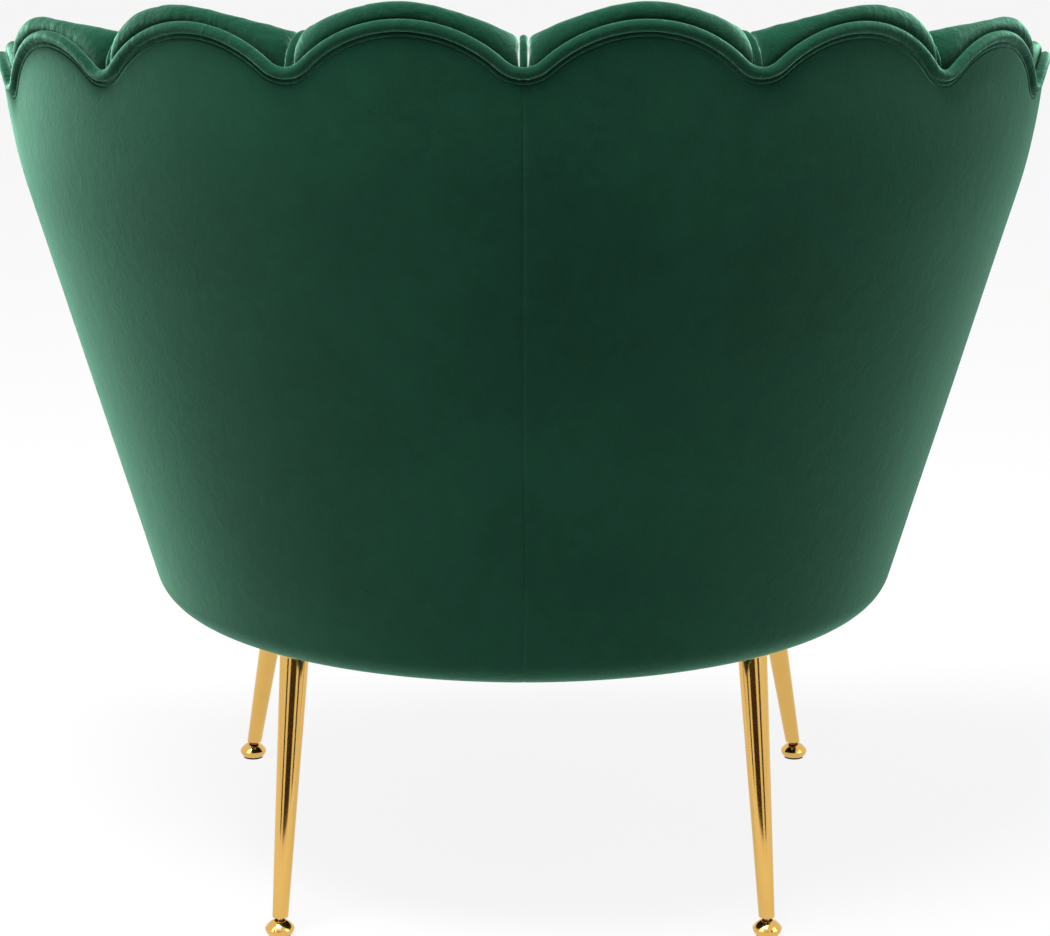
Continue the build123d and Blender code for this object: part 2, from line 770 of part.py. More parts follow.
cushion_bottom = deck_height + layer_gap
cushion_radius = wall_radius(petal_bottom, petal_back) - petal_foot - seat_gap
cushion_corner_reach = cushion_front - cushion_bulge
cushion_run = (cushion_corner_reach + cushion_radius * cos(radians(arm_angle))) / sin(radians(arm_angle))
border_levels = ((0.0, 1.0), (0.2, 0.2), (0.5, 0.0), (0.8, 0.2), (1.0, 1.0))


def cushion_level(height, inset):
    """Outline of the cushion at a height above the deck, drawn in by an inset."""
    with BuildSketch(Plane.XY.offset(cushion_bottom + height)) as level:
        tub_outline(cushion_radius - inset, cushion_run - inset, cushion_bulge)
        fillet(level.vertices().sort_by(Axis.Y)[:2], cushion_corner - inset / 4)
    return level.sketch


with BuildPart() as cushion:
    loft([cushion_level(cushion_height * share, cushion_tuck * tuck) for share, tuck in border_levels])
    crown = []
    for step in range(crown_steps + 1):
        share = step / crown_steps
        rise = cushion_crown * sin(share * pi / 2)
        crown.append(cushion_level(cushion_height + rise, cushion_tuck + crown_run * share))
    loft(crown, ruled=True)
keep(cushion, "seat_cushion")

# Front border below the cushion
with BuildPart() as border:
    for height in (base_height, deck_height):
        with BuildSketch(Plane.XY.offset(height)):
            radius = wall_radius(height, cord_room)
            ahead = arm_run + layer_gap + border_thickness
            outside = side_point(radius, ahead)
            inside = side_point(radius, ahead - border_thickness)
            with BuildLine():
                ThreePointArc(outside, (0, outside[1] - front_bulge), twin_of(outside))
                ThreePointArc(inside, (0, outside[1] - front_bulge + border_thickness), twin_of(inside))
                Line(outside, inside)
                Line(twin_of(outside), twin_of(inside))
            make_face()
    loft(ruled=True)
keep(border, "front_border")

# Base board and dust cover, with the holes for the leg screws
plate_top = base_height - layer_gap
plate_bottom = plate_top - plate_thickness
board_radius = edge_centre_radius + board_edge - layer_gap
leg_radius = board_radius - leg_inset_rear
leg_top_rear = (leg_radius * sin(radians(leg_bearing)), leg_radius * cos(radians(leg_bearing)))
front_x, front_y = side_point(board_radius - leg_inset_front, arm_run - leg_setback)
leg_top_front = (front_x, front_y - axis_y)
foot_rear = (leg_top_rear[0] + splay_rear[0], leg_top_rear[1] + splay_rear[1])
foot_front = (leg_top_front[0] + splay_front[0], leg_top_front[1] + splay_front[1])
leg_places = {
    "rear_left": (1, foot_rear, leg_top_rear),
    "rear_right": (-1, foot_rear, leg_top_rear),
    "front_left": (1, foot_front, leg_top_front),
    "front_right": (-1, foot_front, leg_top_front),
}


def plate_point(side, top, distance, turn):
    """Place at a distance from a leg's centre, turned from the direction of the back's axis."""
    angle = atan2(-top[1], -top[0] * side) + radians(turn)
    return (side * top[0] + distance * cos(angle), axis_y + top[1] + distance * sin(angle))


def screw_points(side, top):
    """Places of the screws in one leg plate."""
    return [plate_point(side, top, screw_circle, turn) for turn in (0, screw_spread, -screw_spread)]


all_screws = [point for side, _, top in leg_places.values() for point in screw_points(side, top)]
with BuildPart() as board:
    with BuildSketch(Plane.XY.offset(board_bottom)):
        tub_outline(board_radius, arm_run - layer_gap, board_bulge)
    extrude(amount=board_thickness)
    chamfer(board.faces().sort_by(Axis.Z)[0].edges(), board_edge)
    with BuildSketch(Plane.XY.offset(board_bottom)):
        with Locations(*all_screws):
            Circle(screw_diameter / 2 + thread_gap)
    extrude(amount=board_thickness, mode=Mode.SUBTRACT)
keep(board, "base_board")

dust_bottom = board_bottom - layer_gap - dust_cover_thickness
with BuildPart() as dust_cover:
    with BuildSketch(Plane.XY.offset(dust_bottom)):
        tub_outline(edge_centre_radius - layer_gap, arm_run - layer_gap, board_bulge)
        with Locations(*all_screws):
            Circle(screw_diameter / 2 + layer_gap, mode=Mode.SUBTRACT)
    extrude(amount=dust_cover_thickness)
keep(dust_cover, "dust_cover")

with BuildPart() as screws:
    with BuildSketch(Plane.XY.offset(plate_bottom)):
        with Locations(*all_screws):
            Circle(screw_diameter / 2)
    extrude(amount=screw_length)
    with BuildSketch(Plane.XY.offset(plate_bottom)):
        with Locations(*all_screws):
            Circle(screw_head_diameter / 2)
    extrude(amount=-screw_head_height)
keep(screws, "leg_screws")

# Legs: tapered tubes under plates, each with a threaded plug and a levelling foot
for name, (side, foot, top) in leg_places.items():
    end_point = Vector(side * foot[0], axis_y + foot[1], leg_end_height)
    top_point = Vector(side * top[0], axis_y + top[1], plate_bottom)
    leg_line = (top_point - end_point).normalized()
    leg_length = (top_point - end_point).length
    taper = (leg_top_diameter - leg_end_diameter) / 2 / leg_length
    spare = leg_top_diameter

    def radius_at(distance):
        """Outside radius of the leg at a distance up its line."""
        return leg_end_diameter / 2 + taper * distance

    with BuildPart(Plane(end_point - leg_line * spare, z_dir=leg_line)) as leg:
        for wall, mode in ((0.0, Mode.ADD), (leg_wall, Mode.SUBTRACT)):
            Cone(
                radius_at(-spare) - wall,
                radius_at(leg_length + spare) - wall,
                leg_length + 2 * spare,
                align=(Align.CENTER, Align.CENTER, Align.MIN),
                mode=mode,
            )
        split(bisect_by=Plane.XY.offset(plate_bottom), keep=Keep.BOTTOM)
        split(bisect_by=Plane.XY.offset(leg_end_height), keep=Keep.TOP)
    keep(leg, f"leg_{name}")

    with BuildPart() as plate:
        with BuildSketch(Plane.XY.offset(plate_bottom)):
            with Locations(plate_point(side, top, plate_shift, 0)):
                Circle(plate_diameter / 2)
            with Locations(*screw_points(side, top)):
                Circle(screw_diameter / 2 + thread_gap, mode=Mode.SUBTRACT)
        extrude(amount=plate_thickness)
    keep(plate, f"leg_plate_{name}")

    with BuildPart(Plane(end_point - leg_line * spare, z_dir=leg_line)) as plug:
        Cone(
            radius_at(-spare) - leg_wall - thread_gap,
            radius_at(plug_length) - leg_wall - thread_gap,
            spare + plug_length,
            align=(Align.CENTER, Align.CENTER, Align.MIN),
        )
        Cylinder(
            stem_diameter / 2 + thread_gap,
            spare + plug_length,
            align=(Align.CENTER, Align.CENTER, Align.MIN),
            mode=Mode.SUBTRACT,
        )
        split(bisect_by=Plane.XY.offset(leg_end_height), keep=Keep.TOP)
    keep(plug, f"leg_plug_{name}")

    neck_length = (leg_end_height - ball_height) / leg_line.Z
    ball_point = end_point - leg_line * neck_length
    with BuildPart(Plane(ball_point, z_dir=leg_line)) as stem:
        Sphere(ball_diameter / 2)
        Cylinder(stem_neck_diameter / 2, neck_length, align=(Align.CENTER, Align.CENTER, Align.MIN))
        with Locations((0, 0, neck_length)):
            Cylinder(stem_diameter / 2, stem_length, align=(Align.CENTER, Align.CENTER, Align.MIN))
    keep(stem, f"foot_stem_{name}")

    bell_bottom = pad_thickness - pad_recess
    with BuildPart() as bell:
        with BuildSketch(Plane((ball_point.X, ball_point.Y, 0), x_dir=(1, 0, 0), z_dir=(0, -1, 0))):
            with BuildLine():
                Polyline(
                    (bell_top_diameter / 2, bell_top),
                    (0, bell_top),
                    (0, bell_bottom),
                    (bell_foot_diameter / 2, bell_bottom),
                )
                under = RadiusArc(
                    (bell_foot_diameter / 2, bell_bottom),
                    (bell_diameter / 2, bell_waist),
                    -bell_diameter / 2,
                )
                RadiusArc(under @ 1, (bell_top_diameter / 2, bell_top), -bell_diameter / 2)
            make_face()
        revolve(axis=Axis((ball_point.X, ball_point.Y, 0), (0, 0, 1)))
        with Locations(ball_point):
            Sphere(ball_diameter / 2 + ball_gap, mode=Mode.SUBTRACT)
            Cone(
                stem_neck_diameter / 2 + ball_gap,
                bell_top_diameter / 2 - bell_lip,
                bell_top - ball_height,
                align=(Align.CENTER, Align.CENTER, Align.MIN),
                mode=Mode.SUBTRACT,
            )
        with Locations((ball_point.X, ball_point.Y, bell_bottom)):
            Cylinder(
                pad_diameter / 2 + ball_gap,
                pad_recess,
                align=(Align.CENTER, Align.CENTER, Align.MIN),
                mode=Mode.SUBTRACT,
            )
    keep(bell, f"foot_bell_{name}")

    with BuildPart() as pad:
        with Locations((ball_point.X, ball_point.Y, 0)):
            Cylinder(pad_diameter / 2, pad_thickness, align=(Align.CENTER, Align.CENTER, Align.MIN))
    keep(pad, f"foot_pad_{name}")
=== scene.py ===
"""Scallop-backed velvet tub armchair: upholstery, metal finishes and a plain studio around the CAD frame.

Frame: +Z is up, the sitter faces -Y and the sitter's left is +X. Lengths are in metres.
"""

import json
import math

import bpy
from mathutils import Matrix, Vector, noise
from mathutils.bvhtree import BVHTree

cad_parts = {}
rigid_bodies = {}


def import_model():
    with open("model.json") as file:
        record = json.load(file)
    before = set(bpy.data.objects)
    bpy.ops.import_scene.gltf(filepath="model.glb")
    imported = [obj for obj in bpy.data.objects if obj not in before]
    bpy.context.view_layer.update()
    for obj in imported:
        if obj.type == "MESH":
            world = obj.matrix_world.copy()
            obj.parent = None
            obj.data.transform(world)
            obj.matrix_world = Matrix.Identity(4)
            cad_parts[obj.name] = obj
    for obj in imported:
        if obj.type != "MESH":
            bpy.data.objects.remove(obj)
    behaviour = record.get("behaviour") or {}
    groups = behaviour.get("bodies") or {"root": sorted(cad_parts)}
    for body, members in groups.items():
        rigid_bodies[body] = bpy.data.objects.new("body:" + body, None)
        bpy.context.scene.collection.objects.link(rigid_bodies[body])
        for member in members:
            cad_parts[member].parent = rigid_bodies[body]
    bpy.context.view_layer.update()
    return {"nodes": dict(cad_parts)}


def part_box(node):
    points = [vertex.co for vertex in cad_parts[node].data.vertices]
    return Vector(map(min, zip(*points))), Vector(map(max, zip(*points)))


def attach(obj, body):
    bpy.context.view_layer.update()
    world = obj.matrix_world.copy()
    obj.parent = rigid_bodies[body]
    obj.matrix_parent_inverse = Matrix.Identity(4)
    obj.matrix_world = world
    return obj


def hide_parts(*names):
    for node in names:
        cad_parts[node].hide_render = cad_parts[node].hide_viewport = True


bl_info = {
    "name": "Scalloped Tub Armchair",
    "version": (1, 0, 0),
    "blender": (4, 5, 0),
    "location": "View3D > Sidebar > Armchair",
    "description": "Upholstery, metal finishes and a plain studio for a scallop-backed tub armchair",
    "category": "Object",
}

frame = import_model()

CHAIR = "chair"            # the body that everything but the feet belongs to
ROUND_PETALS = 4           # petals on the round back, on each side of the rear centre
LEGS = ("rear_left", "rear_right", "front_left", "front_right")


def length(name, description, default):
    """A size in metres."""
    return bpy.props.FloatProperty(
        name=name, description=description, default=default, unit="LENGTH", precision=4
    )


def angle(name, description, degrees):
    """An angle, given in degrees."""
    return bpy.props.FloatProperty(
        name=name, description=description, default=math.radians(degrees), subtype="ANGLE"
    )


def number(name, description, default):
    """A plain number."""
    return bpy.props.FloatProperty(name=name, description=description, default=default, precision=4)


def pair(name, description, default):
    """Two sizes in metres: outward and rearward of the back's axis."""
    return bpy.props.FloatVectorProperty(
        name=name, description=description, default=default, size=2, unit="LENGTH", precision=4
    )


def colour(name, description, default):
    """A colour as an sRGB hex value."""
    return bpy.props.StringProperty(name=name, description=description, default=default)


class WallSizes(bpy.types.PropertyGroup):
    """The leaning wall of the back and arms, as the CAD frame has it."""

    axis_y: length("Back axis", "Place of the upright axis of the round back, along Y", -0.0576)
    rim_radius: length("Rim radius", "Outside of the cover at the rim", 0.396)
    bend_radius: length("Bend radius", "Bend from the lean into the upright rim", 0.393)
    bend_top: length("Bend top", "Height above which the cover is upright", 0.651)
    lean: angle("Lean", "Lean of the cover below the bend", 16.55)
    base_height: length("Base height", "Underside of the upholstered body", 0.211)
    base_edge: length("Base edge", "Radius of the rounded lower edge", 0.031)
    petal_angle: angle("Petal angle", "Part of the round back that one petal takes up", 23.95)
    valley_height: length("Valley height", "Cover's edge in the valley at the rear centre", 0.6635)
    rim_slope: number("Rim slope", "Fall of the rim per metre forward, at the rear", 0.12)
    rim_sag: number("Rim sag", "Growth of that slope, per metre", 0.2)
    scallop_rise: length("Scallop rise", "From the valleys up to the peaks of the edge", 0.033)
    valley_round: length("Valley rounding", "Radius of the edge in the valleys", 0.030)
    arm_rise: length("Arm rise", "Peak of the arm's edge above the last valley", 0.011)
    nose_radius: length("Arm nose", "Radius of the edge where the arm turns down", 0.130)


class UpholsterySizes(bpy.types.PropertyGroup):
    """Cloth, cords and padding."""

    cover_thickness: length("Cover thickness", "Velvet and its backing", 0.0026)
    seam_depth: length("Seam depth", "How far the rear seam draws in", 0.0011)
    seam_width: length("Seam width", "Half width of the hollow along the rear seam", 0.0016)
    cover_wave: length("Cover wave", "Unevenness of the stretched cover", 0.0007)
    ridge_diameter: length("Ridge diameter", "Thin rolled ridge on the cover's edge", 0.003)
    ridge_outset: length("Ridge outset", "Ridge's centre beyond the cover's edge", 0.0018)
    welt_diameter: length("Welt diameter", "Thick welt above the ridge", 0.0084)
    welt_outset: length("Welt outset", "Welt's centre beyond the cover's edge", 0.0078)
    voxel: length("Remesh size", "Grain of the padded meshes before simulation", 0.0045)
    petal_swell: length("Petal swell", "Most that a point of a petal may move as it swells", 0.007)
    petal_gap: length("Petal gap", "Left between a petal and what it presses against", 0.0003)
    petal_dents: length("Petal dents", "Unevenness of the stuffed petals", 0.0007)
    dent_size: length("Dent size", "Width of that unevenness", 0.030)
    cushion_swell: length("Cushion swell", "Most that a point of the cushion may move", 0.010)
    pressure: number("Filling pressure", "Pressure of the filling in the simulation", 4.0)
    border_bulge: length("Border bulge", "How far the front border swells forward of its corners", 0.046)


class LegSizes(bpy.types.PropertyGroup):
    """Tapered legs and the bells of their levelling feet, as the CAD frame has them."""

    rear_foot: pair("Rear foot", "Lower end of a rear leg, outward and rearward", (0.182, 0.220))
    rear_top: pair("Rear top", "Upper end of a rear leg, outward and rearward", (0.171, 0.178))
    front_foot: pair("Front foot", "Lower end of a front leg, outward and rearward", (0.2314, -0.2001))
    front_top: pair("Front top", "Upper end of a front leg, outward and rearward", (0.1976, -0.158))
    end_height: length("End height", "Lower end of the legs above the floor", 0.0146)
    top_height: length("Top height", "Underside of the leg plates", 0.2077)
    end_diameter: length("End diameter", "Leg at its lower end", 0.012)
    top_diameter: length("Top diameter", "Leg at its upper end", 0.022)
    leg_wall: length("Leg wall", "Wall of the tube", 0.0015)
    rim_round: length("Rim rounding", "Rounded edges of the tube's ends", 0.0004)
    ball_height: length("Ball height", "Centre of the foot's ball above the floor", 0.0076)
    bell_diameter: length("Bell diameter", "Widest part of a bell", 0.022)
    bell_foot_diameter: length("Bell foot", "Bell at its lower edge", 0.017)
    bell_top_diameter: length("Bell top", "Bell at its mouth", 0.009)
    bell_foot: length("Bell foot height", "Lower edge of a bell above the floor", 0.0014)
    bell_waist: length("Bell waist", "Height of the widest part", 0.0066)
    bell_top: length("Bell top height", "Height of the mouth", 0.0126)
    bell_bulge: length("Bell bulge", "Swell of the bell's two curved sides", 0.0007)


class Finishes(bpy.types.PropertyGroup):
    """Colours of the finishes."""

    # Ends of the velvet's base-colour ramp: the deep one is the velvet's own dark green; the pale one is
    # partly paler pile and partly painted sheen, where pile lying towards the light would catch it.
    velvet_deep: colour("Velvet, against the nap", "Pile that leans away from the light", "#042015")
    velvet_light: colour("Velvet, along the nap", "Pile brushed towards the light", "#0d3324")
    velvet_sheen: colour("Velvet sheen", "Light on the tips of the pile", "#84c2a5")
    gold: colour("Gold plating", "Polished plating of the legs and feet", "#e3b664")
    zinc: colour("Zinc plating", "Bright plating of stems and screws", "#c9cacc")
    rubber: colour("Rubber", "Pads under the feet", "#1a1a1a")
    plastic: colour("Plug plastic", "Plugs in the legs' ends", "#1c1c1c")
    dust_cloth: colour("Dust cover", "Thin black cloth under the seat", "#1b1b1c")
    timber: colour("Timber", "Sawn frame timber", "#b98f5d")
    board: colour("Lining board", "Grey-brown board behind the cover", "#8f7a5c")
    canvas: colour("Lining cloth", "Plain woven cloth", "#b9b4a4")
    deck_cloth: colour("Deck cloth", "Plain cloth under the seat cushion", "#0d2f22")
    steel: colour("Spring steel", "Drawn wire and pressed clips", "#77787a")
    floor: colour("Floor", "Pale studio floor", "#dcdcdc")
    flag: colour("Flags", "Dark panels that only the metal mirrors", "#2a1808")


class ScallopedWall:
    """The wall's shape and its scalloped edge, worked out from its sizes.

    A place on the wall is given by its distance along the rim from the rear centre, its height,
    and its depth inside the cover.
    """

    def __init__(self, sizes):
        self.sizes = sizes
        self.pitch = sizes.rim_radius * sizes.petal_angle
        self.round_length = self.pitch * ROUND_PETALS
        self.arm_angle = sizes.petal_angle * ROUND_PETALS
        nose_centre, nose_radius = self.arch(ROUND_PETALS)
        self.nose_start = nose_centre[0]
        self.front = nose_centre[0] + nose_radius
        self.edge_centre_height = sizes.base_height + sizes.base_edge
        self.edge_centre_radius = self.radius(self.edge_centre_height, sizes.base_edge)

    def radius(self, height, depth):
        """Radius of the wall at a height."""
        sizes = self.sizes
        bend = sizes.bend_radius - depth
        bend_centre = sizes.rim_radius - sizes.bend_radius
        bend_start = sizes.bend_top - bend * math.sin(sizes.lean)
        if height >= sizes.bend_top:
            return sizes.rim_radius - depth
        if height >= bend_start:
            return bend_centre + math.sqrt(bend**2 - (sizes.bend_top - height) ** 2)
        foot = bend_centre + bend * math.cos(sizes.lean)
        return foot - (bend_start - height) * math.tan(sizes.lean)

    def place(self, along, radius, height):
        """Point in space at a radius from the back's axis."""
        turn = min(self.arm_angle, along / self.sizes.rim_radius)
        straight = max(0.0, along - self.round_length)
        out = Vector((math.sin(turn), math.cos(turn), 0.0))
        ahead = Vector((math.cos(turn), -math.sin(turn), 0.0))
        return Vector((0.0, self.sizes.axis_y, height)) + out * radius + ahead * straight

    def point(self, along, height, depth):
        """Point in space on the wall."""
        return self.place(along, self.radius(height, depth), height)

    def valley(self, index):
        """Centre of the rounding in a valley, counted from the rear centre."""
        sizes = self.sizes
        along = self.pitch * index
        forward = sizes.rim_radius * (1 - math.cos(along / sizes.rim_radius))
        bottom = sizes.valley_height - sizes.rim_slope * forward - sizes.rim_sag * forward**2
        return (along, bottom + sizes.valley_round)

    def arch(self, index):
        """Centre and radius of the edge's arc over a petal."""
        sizes = self.sizes
        left = self.valley(index)
        if index == ROUND_PETALS:
            middle = left[1] - sizes.valley_round + sizes.arm_rise - sizes.nose_radius
            reach = sizes.nose_radius + sizes.valley_round
            return (left[0] + math.sqrt(reach**2 - (left[1] - middle) ** 2), middle), sizes.nose_radius
        right = self.valley(index + 1)
        half = math.hypot(right[0] - left[0], right[1] - left[1]) / 2
        tilt = math.atan2(right[1] - left[1], right[0] - left[0])
        below = (half**2 - sizes.scallop_rise**2) / (2 * sizes.scallop_rise)
        along = (left[0] + right[0]) / 2 + below * math.sin(tilt)
        height = (left[1] + right[1]) / 2 - below * math.cos(tilt)
        return (along, height), sizes.scallop_rise - sizes.valley_round + below

    def valley_side(self, index, other):
        """Direction from a valley's centre to the centre of a neighbouring arc."""
        centre = self.valley(index)
        peak, _ = self.arch(other)
        return math.atan2(peak[1] - centre[1], peak[0] - centre[0])

    def edge_line(self, outset, spacing, lowest):
        """Places along the edge, moved out by an outset, from the rear centre down the arm's front."""
        line = []

        def arc(centre, radius, first, last):
            steps = max(2, round(abs(last - first) * radius / spacing))
            for step in range(steps):
                turn = first + (last - first) * step / steps
                line.append((centre[0] + radius * math.cos(turn), centre[1] + radius * math.sin(turn)))

        hollow = self.sizes.valley_round - outset
        for index in range(ROUND_PETALS + 1):
            rise = self.valley_side(index, index)
            arc(self.valley(index), hollow, -math.pi / 2, rise)
            centre, radius = self.arch(index)
            if index == ROUND_PETALS:
                arc(centre, radius + outset, rise + math.pi, 0.0)
                continue
            fall = self.valley_side(index + 1, index)
            arc(centre, radius + outset, rise + math.pi, fall + math.pi)
            arc(self.valley(index + 1), hollow, fall, -math.pi / 2)
        nose, radius = self.arch(ROUND_PETALS)
        steps = round((nose[1] - lowest) / spacing)
        for step in range(steps + 1):
            line.append((nose[0] + radius + outset, nose[1] + (lowest - nose[1]) * step / steps))
        return line

    def edge_height(self, along):
        """Height of the cover's edge above a place on the rim."""
        index = min(ROUND_PETALS, int(along / self.pitch))
        for near in (index, index + 1):
            if near > ROUND_PETALS:
                continue
            centre = self.valley(near)
            reach = self.sizes.valley_round * abs(math.cos(self.valley_side(near, index)))
            if abs(along - centre[0]) <= reach:
                return centre[1] - math.sqrt(self.sizes.valley_round**2 - (along - centre[0]) ** 2)
        centre, radius = self.arch(index)
        return centre[1] + math.sqrt(max(0.0, radius**2 - (along - centre[0]) ** 2))


def linear(value):
    """An sRGB hex value as linear red, green, blue and alpha."""
    channels = [int(value[place:place + 2], 16) / 255 for place in (1, 3, 5)]
    straight = [c / 12.92 if c <= 0.04045 else ((c + 0.055) / 1.055) ** 2.4 for c in channels]
    return (*straight, 1.0)


def add_node(tree, kind, inputs=None, **settings):
    """Add a shader node with its settings; an input given as another node's output is linked."""
    made = tree.nodes.new(kind)
    for name, value in settings.items():
        setattr(made, name, value)
    for name, value in (inputs or {}).items():
        if isinstance(value, bpy.types.NodeSocket):
            tree.links.new(value, made.inputs[name])
        else:
            made.inputs[name].default_value = value
    return made


def new_material(name):
    """An empty material with its output and a surface shader."""
    made = bpy.data.materials.new(name)
    made.use_nodes = True
    made.node_tree.nodes.clear()
    shader = add_node(made.node_tree, "ShaderNodeBsdfPrincipled")
    add_node(made.node_tree, "ShaderNodeOutputMaterial", {"Surface": shader.outputs["BSDF"]})
    return made, made.node_tree, shader


def per_metre(millimetres):
    """Scale of a noise whose features are a given size."""
    return 1000.0 / millimetres


def velvet(name, finishes, patch_mm, tilt_strength, tilt_depth):
    """Polyester velvet: short dense pile that is dark face on and pale where it is seen along the surface."""
    made, tree, shader = new_material(name)
    place = add_node(tree, "ShaderNodeTexCoord").outputs["Object"]
    # Brushed areas a hand wide, patches where the pile lies over, and pile drawn coarse so that it shows.
    # Mixed, they pick the base colour: partly the pile's own uneven tone, partly painted sheen where lying
    # pile would catch the light.
    brushed = add_node(
        tree, "ShaderNodeTexNoise",
        {"Vector": place, "Scale": per_metre(140), "Detail": 2.0, "Roughness": 0.5},
    )
    patches = add_node(
        tree, "ShaderNodeTexNoise",
        {"Vector": place, "Scale": per_metre(patch_mm), "Detail": 4.0, "Roughness": 0.6, "Distortion": 0.6},
    )
    pile = add_node(
        tree, "ShaderNodeTexNoise",
        {"Vector": place, "Scale": per_metre(1.6), "Detail": 2.0, "Roughness": 0.6},
    )
    nap_and_painted_sheen = 0.0
    for layer, weight in ((brushed, 0.55), (patches, 0.30), (pile, 0.35)):
        share = {0: layer.outputs["Fac"], 1: weight, 2: nap_and_painted_sheen}
        nap_and_painted_sheen = add_node(tree, "ShaderNodeMath", share, operation="MULTIPLY_ADD").outputs[0]
    # Base colour from deep to pale by that mix: random tone of the pile and painted sheen in one.
    ramp = add_node(tree, "ShaderNodeValToRGB", {"Fac": nap_and_painted_sheen})
    ramp.color_ramp.elements[0].position = 0.38
    ramp.color_ramp.elements[0].color = linear(finishes.velvet_deep)
    ramp.color_ramp.elements[1].position = 0.82
    ramp.color_ramp.elements[1].color = linear(finishes.velvet_light)
    tree.links.new(ramp.outputs["Color"], shader.inputs["Base Color"])
    rough = add_node(
        tree, "ShaderNodeMapRange",
        {"Value": patches.outputs["Fac"], "To Min": 0.78, "To Max": 0.95},
    )
    tree.links.new(rough.outputs["Result"], shader.inputs["Roughness"])
    tilt = add_node(
        tree, "ShaderNodeBump",
        {"Height": patches.outputs["Fac"], "Strength": tilt_strength, "Distance": tilt_depth},
    )
    bump = add_node(
        tree, "ShaderNodeBump",
        {
            "Height": pile.outputs["Fac"], "Normal": tilt.outputs["Normal"],
            "Strength": 0.25, "Distance": 0.0006,
        },
    )
    tree.links.new(bump.outputs["Normal"], shader.inputs["Normal"])
    shader.inputs["Specular IOR Level"].default_value = 0.02
    shader.inputs["Sheen Weight"].default_value = 1.0
    shader.inputs["Sheen Roughness"].default_value = 0.42
    shader.inputs["Sheen Tint"].default_value = linear(finishes.velvet_sheen)
    return made


def polished_metal(name, hex_colour, roughness, smudge):
    """Plated metal, polished: mirror-like, with faint smudges and hairlines from handling."""
    made, tree, shader = new_material(name)
    place = add_node(tree, "ShaderNodeTexCoord").outputs["Object"]
    film = add_node(
        tree, "ShaderNodeTexNoise",
        {"Vector": place, "Scale": per_metre(18), "Detail": 5.0, "Roughness": 0.65},
    )
    rough = add_node(
        tree, "ShaderNodeMapRange",
        {"Value": film.outputs["Fac"], "To Min": roughness, "To Max": roughness + smudge},
    )
    tree.links.new(rough.outputs["Result"], shader.inputs["Roughness"])
    tone = add_node(tree, "ShaderNodeValToRGB", {"Fac": film.outputs["Fac"]})
    base = linear(hex_colour)
    tone.color_ramp.elements[0].color = (*[c * 0.9 for c in base[:3]], 1.0)
    tone.color_ramp.elements[1].color = base
    tree.links.new(tone.outputs["Color"], shader.inputs["Base Color"])
    shader.inputs["Metallic"].default_value = 1.0
    return made


def matte(name, hex_colour, grain_mm, contrast, roughness, stretch=(1.0, 1.0, 1.0)):
    """Matt material with a grain: sawn timber, board, plain cloth, rubber or moulded plastic."""
    made, tree, shader = new_material(name)
    place = add_node(tree, "ShaderNodeTexCoord").outputs["Object"]
    turned = add_node(tree, "ShaderNodeMapping", {"Vector": place, "Scale": stretch})
    grain = add_node(
        tree, "ShaderNodeTexNoise",
        {"Vector": turned.outputs["Vector"], "Scale": per_metre(grain_mm), "Detail": 6.0},
    )
    tone = add_node(tree, "ShaderNodeValToRGB", {"Fac": grain.outputs["Fac"]})
    base = linear(hex_colour)
    tone.color_ramp.elements[0].position = 0.3
    tone.color_ramp.elements[0].color = (*[c * (1 - contrast) for c in base[:3]], 1.0)
    tone.color_ramp.elements[1].position = 0.7
    tone.color_ramp.elements[1].color = base
    tree.links.new(tone.outputs["Color"], shader.inputs["Base Color"])
    bump = add_node(
        tree, "ShaderNodeBump",
        {"Height": grain.outputs["Fac"], "Strength": 0.2, "Distance": 0.0005},
    )
    tree.links.new(bump.outputs["Normal"], shader.inputs["Normal"])
    shader.inputs["Roughness"].default_value = roughness
    return made


def shared(name, make):
    """A material made once and used by several pieces."""
    return bpy.data.materials.get(name) or make()


def seen_or_mirrored(tree):
    """One for rays from the camera or off a shiny surface, else nought."""
    ray = add_node(tree, "ShaderNodeLightPath")
    either = {0: ray.outputs["Is Camera Ray"], 1: ray.outputs["Is Glossy Ray"]}
    return ray, add_node(tree, "ShaderNodeMath", either, operation="MAXIMUM").outputs[0]


def velvet_of(context):
    """The velvet of the stretched covers, brushed even."""
    finishes = context.scene.chair_finishes
    return shared("emerald_velvet", lambda: velvet("emerald_velvet", finishes, 14.0, 0.3, 0.0012))


def stuffed_velvet_of(context):
    """The same velvet on padding and cords, where handling leaves marks in the pile: stronger bumps, and
    smaller pale patches in the base colour that are partly the pile's tone and partly painted sheen.
    """
    name = "emerald_velvet_stuffed"
    return shared(name, lambda: velvet(name, context.scene.chair_finishes, 11.0, 0.6, 0.0024))


def finish_piece(piece, material, slot, *nodes, body=CHAIR):
    """Dress a piece, let it ride on its body and stand for its CAD nodes."""
    piece.data.materials.clear()
    piece.data.materials.append(material)
    piece.data.shade_smooth()
    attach(piece, body)
    if nodes:
        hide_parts(*nodes)


def select_only(piece):
    """Make a piece the only selected one, and active."""
    bpy.ops.object.select_all(action="DESELECT")
    piece.select_set(True)
    bpy.context.view_layer.objects.active = piece


def crisp_edges(piece, degrees):
    """Shade a piece smooth, but for edges sharper than an angle."""
    select_only(piece)
    bpy.ops.object.shade_smooth_by_angle(angle=math.radians(degrees))


def dress_node(name, material):
    """Give a CAD node its material."""
    node = frame["nodes"][name]
    node.data.materials.clear()
    node.data.materials.append(material)


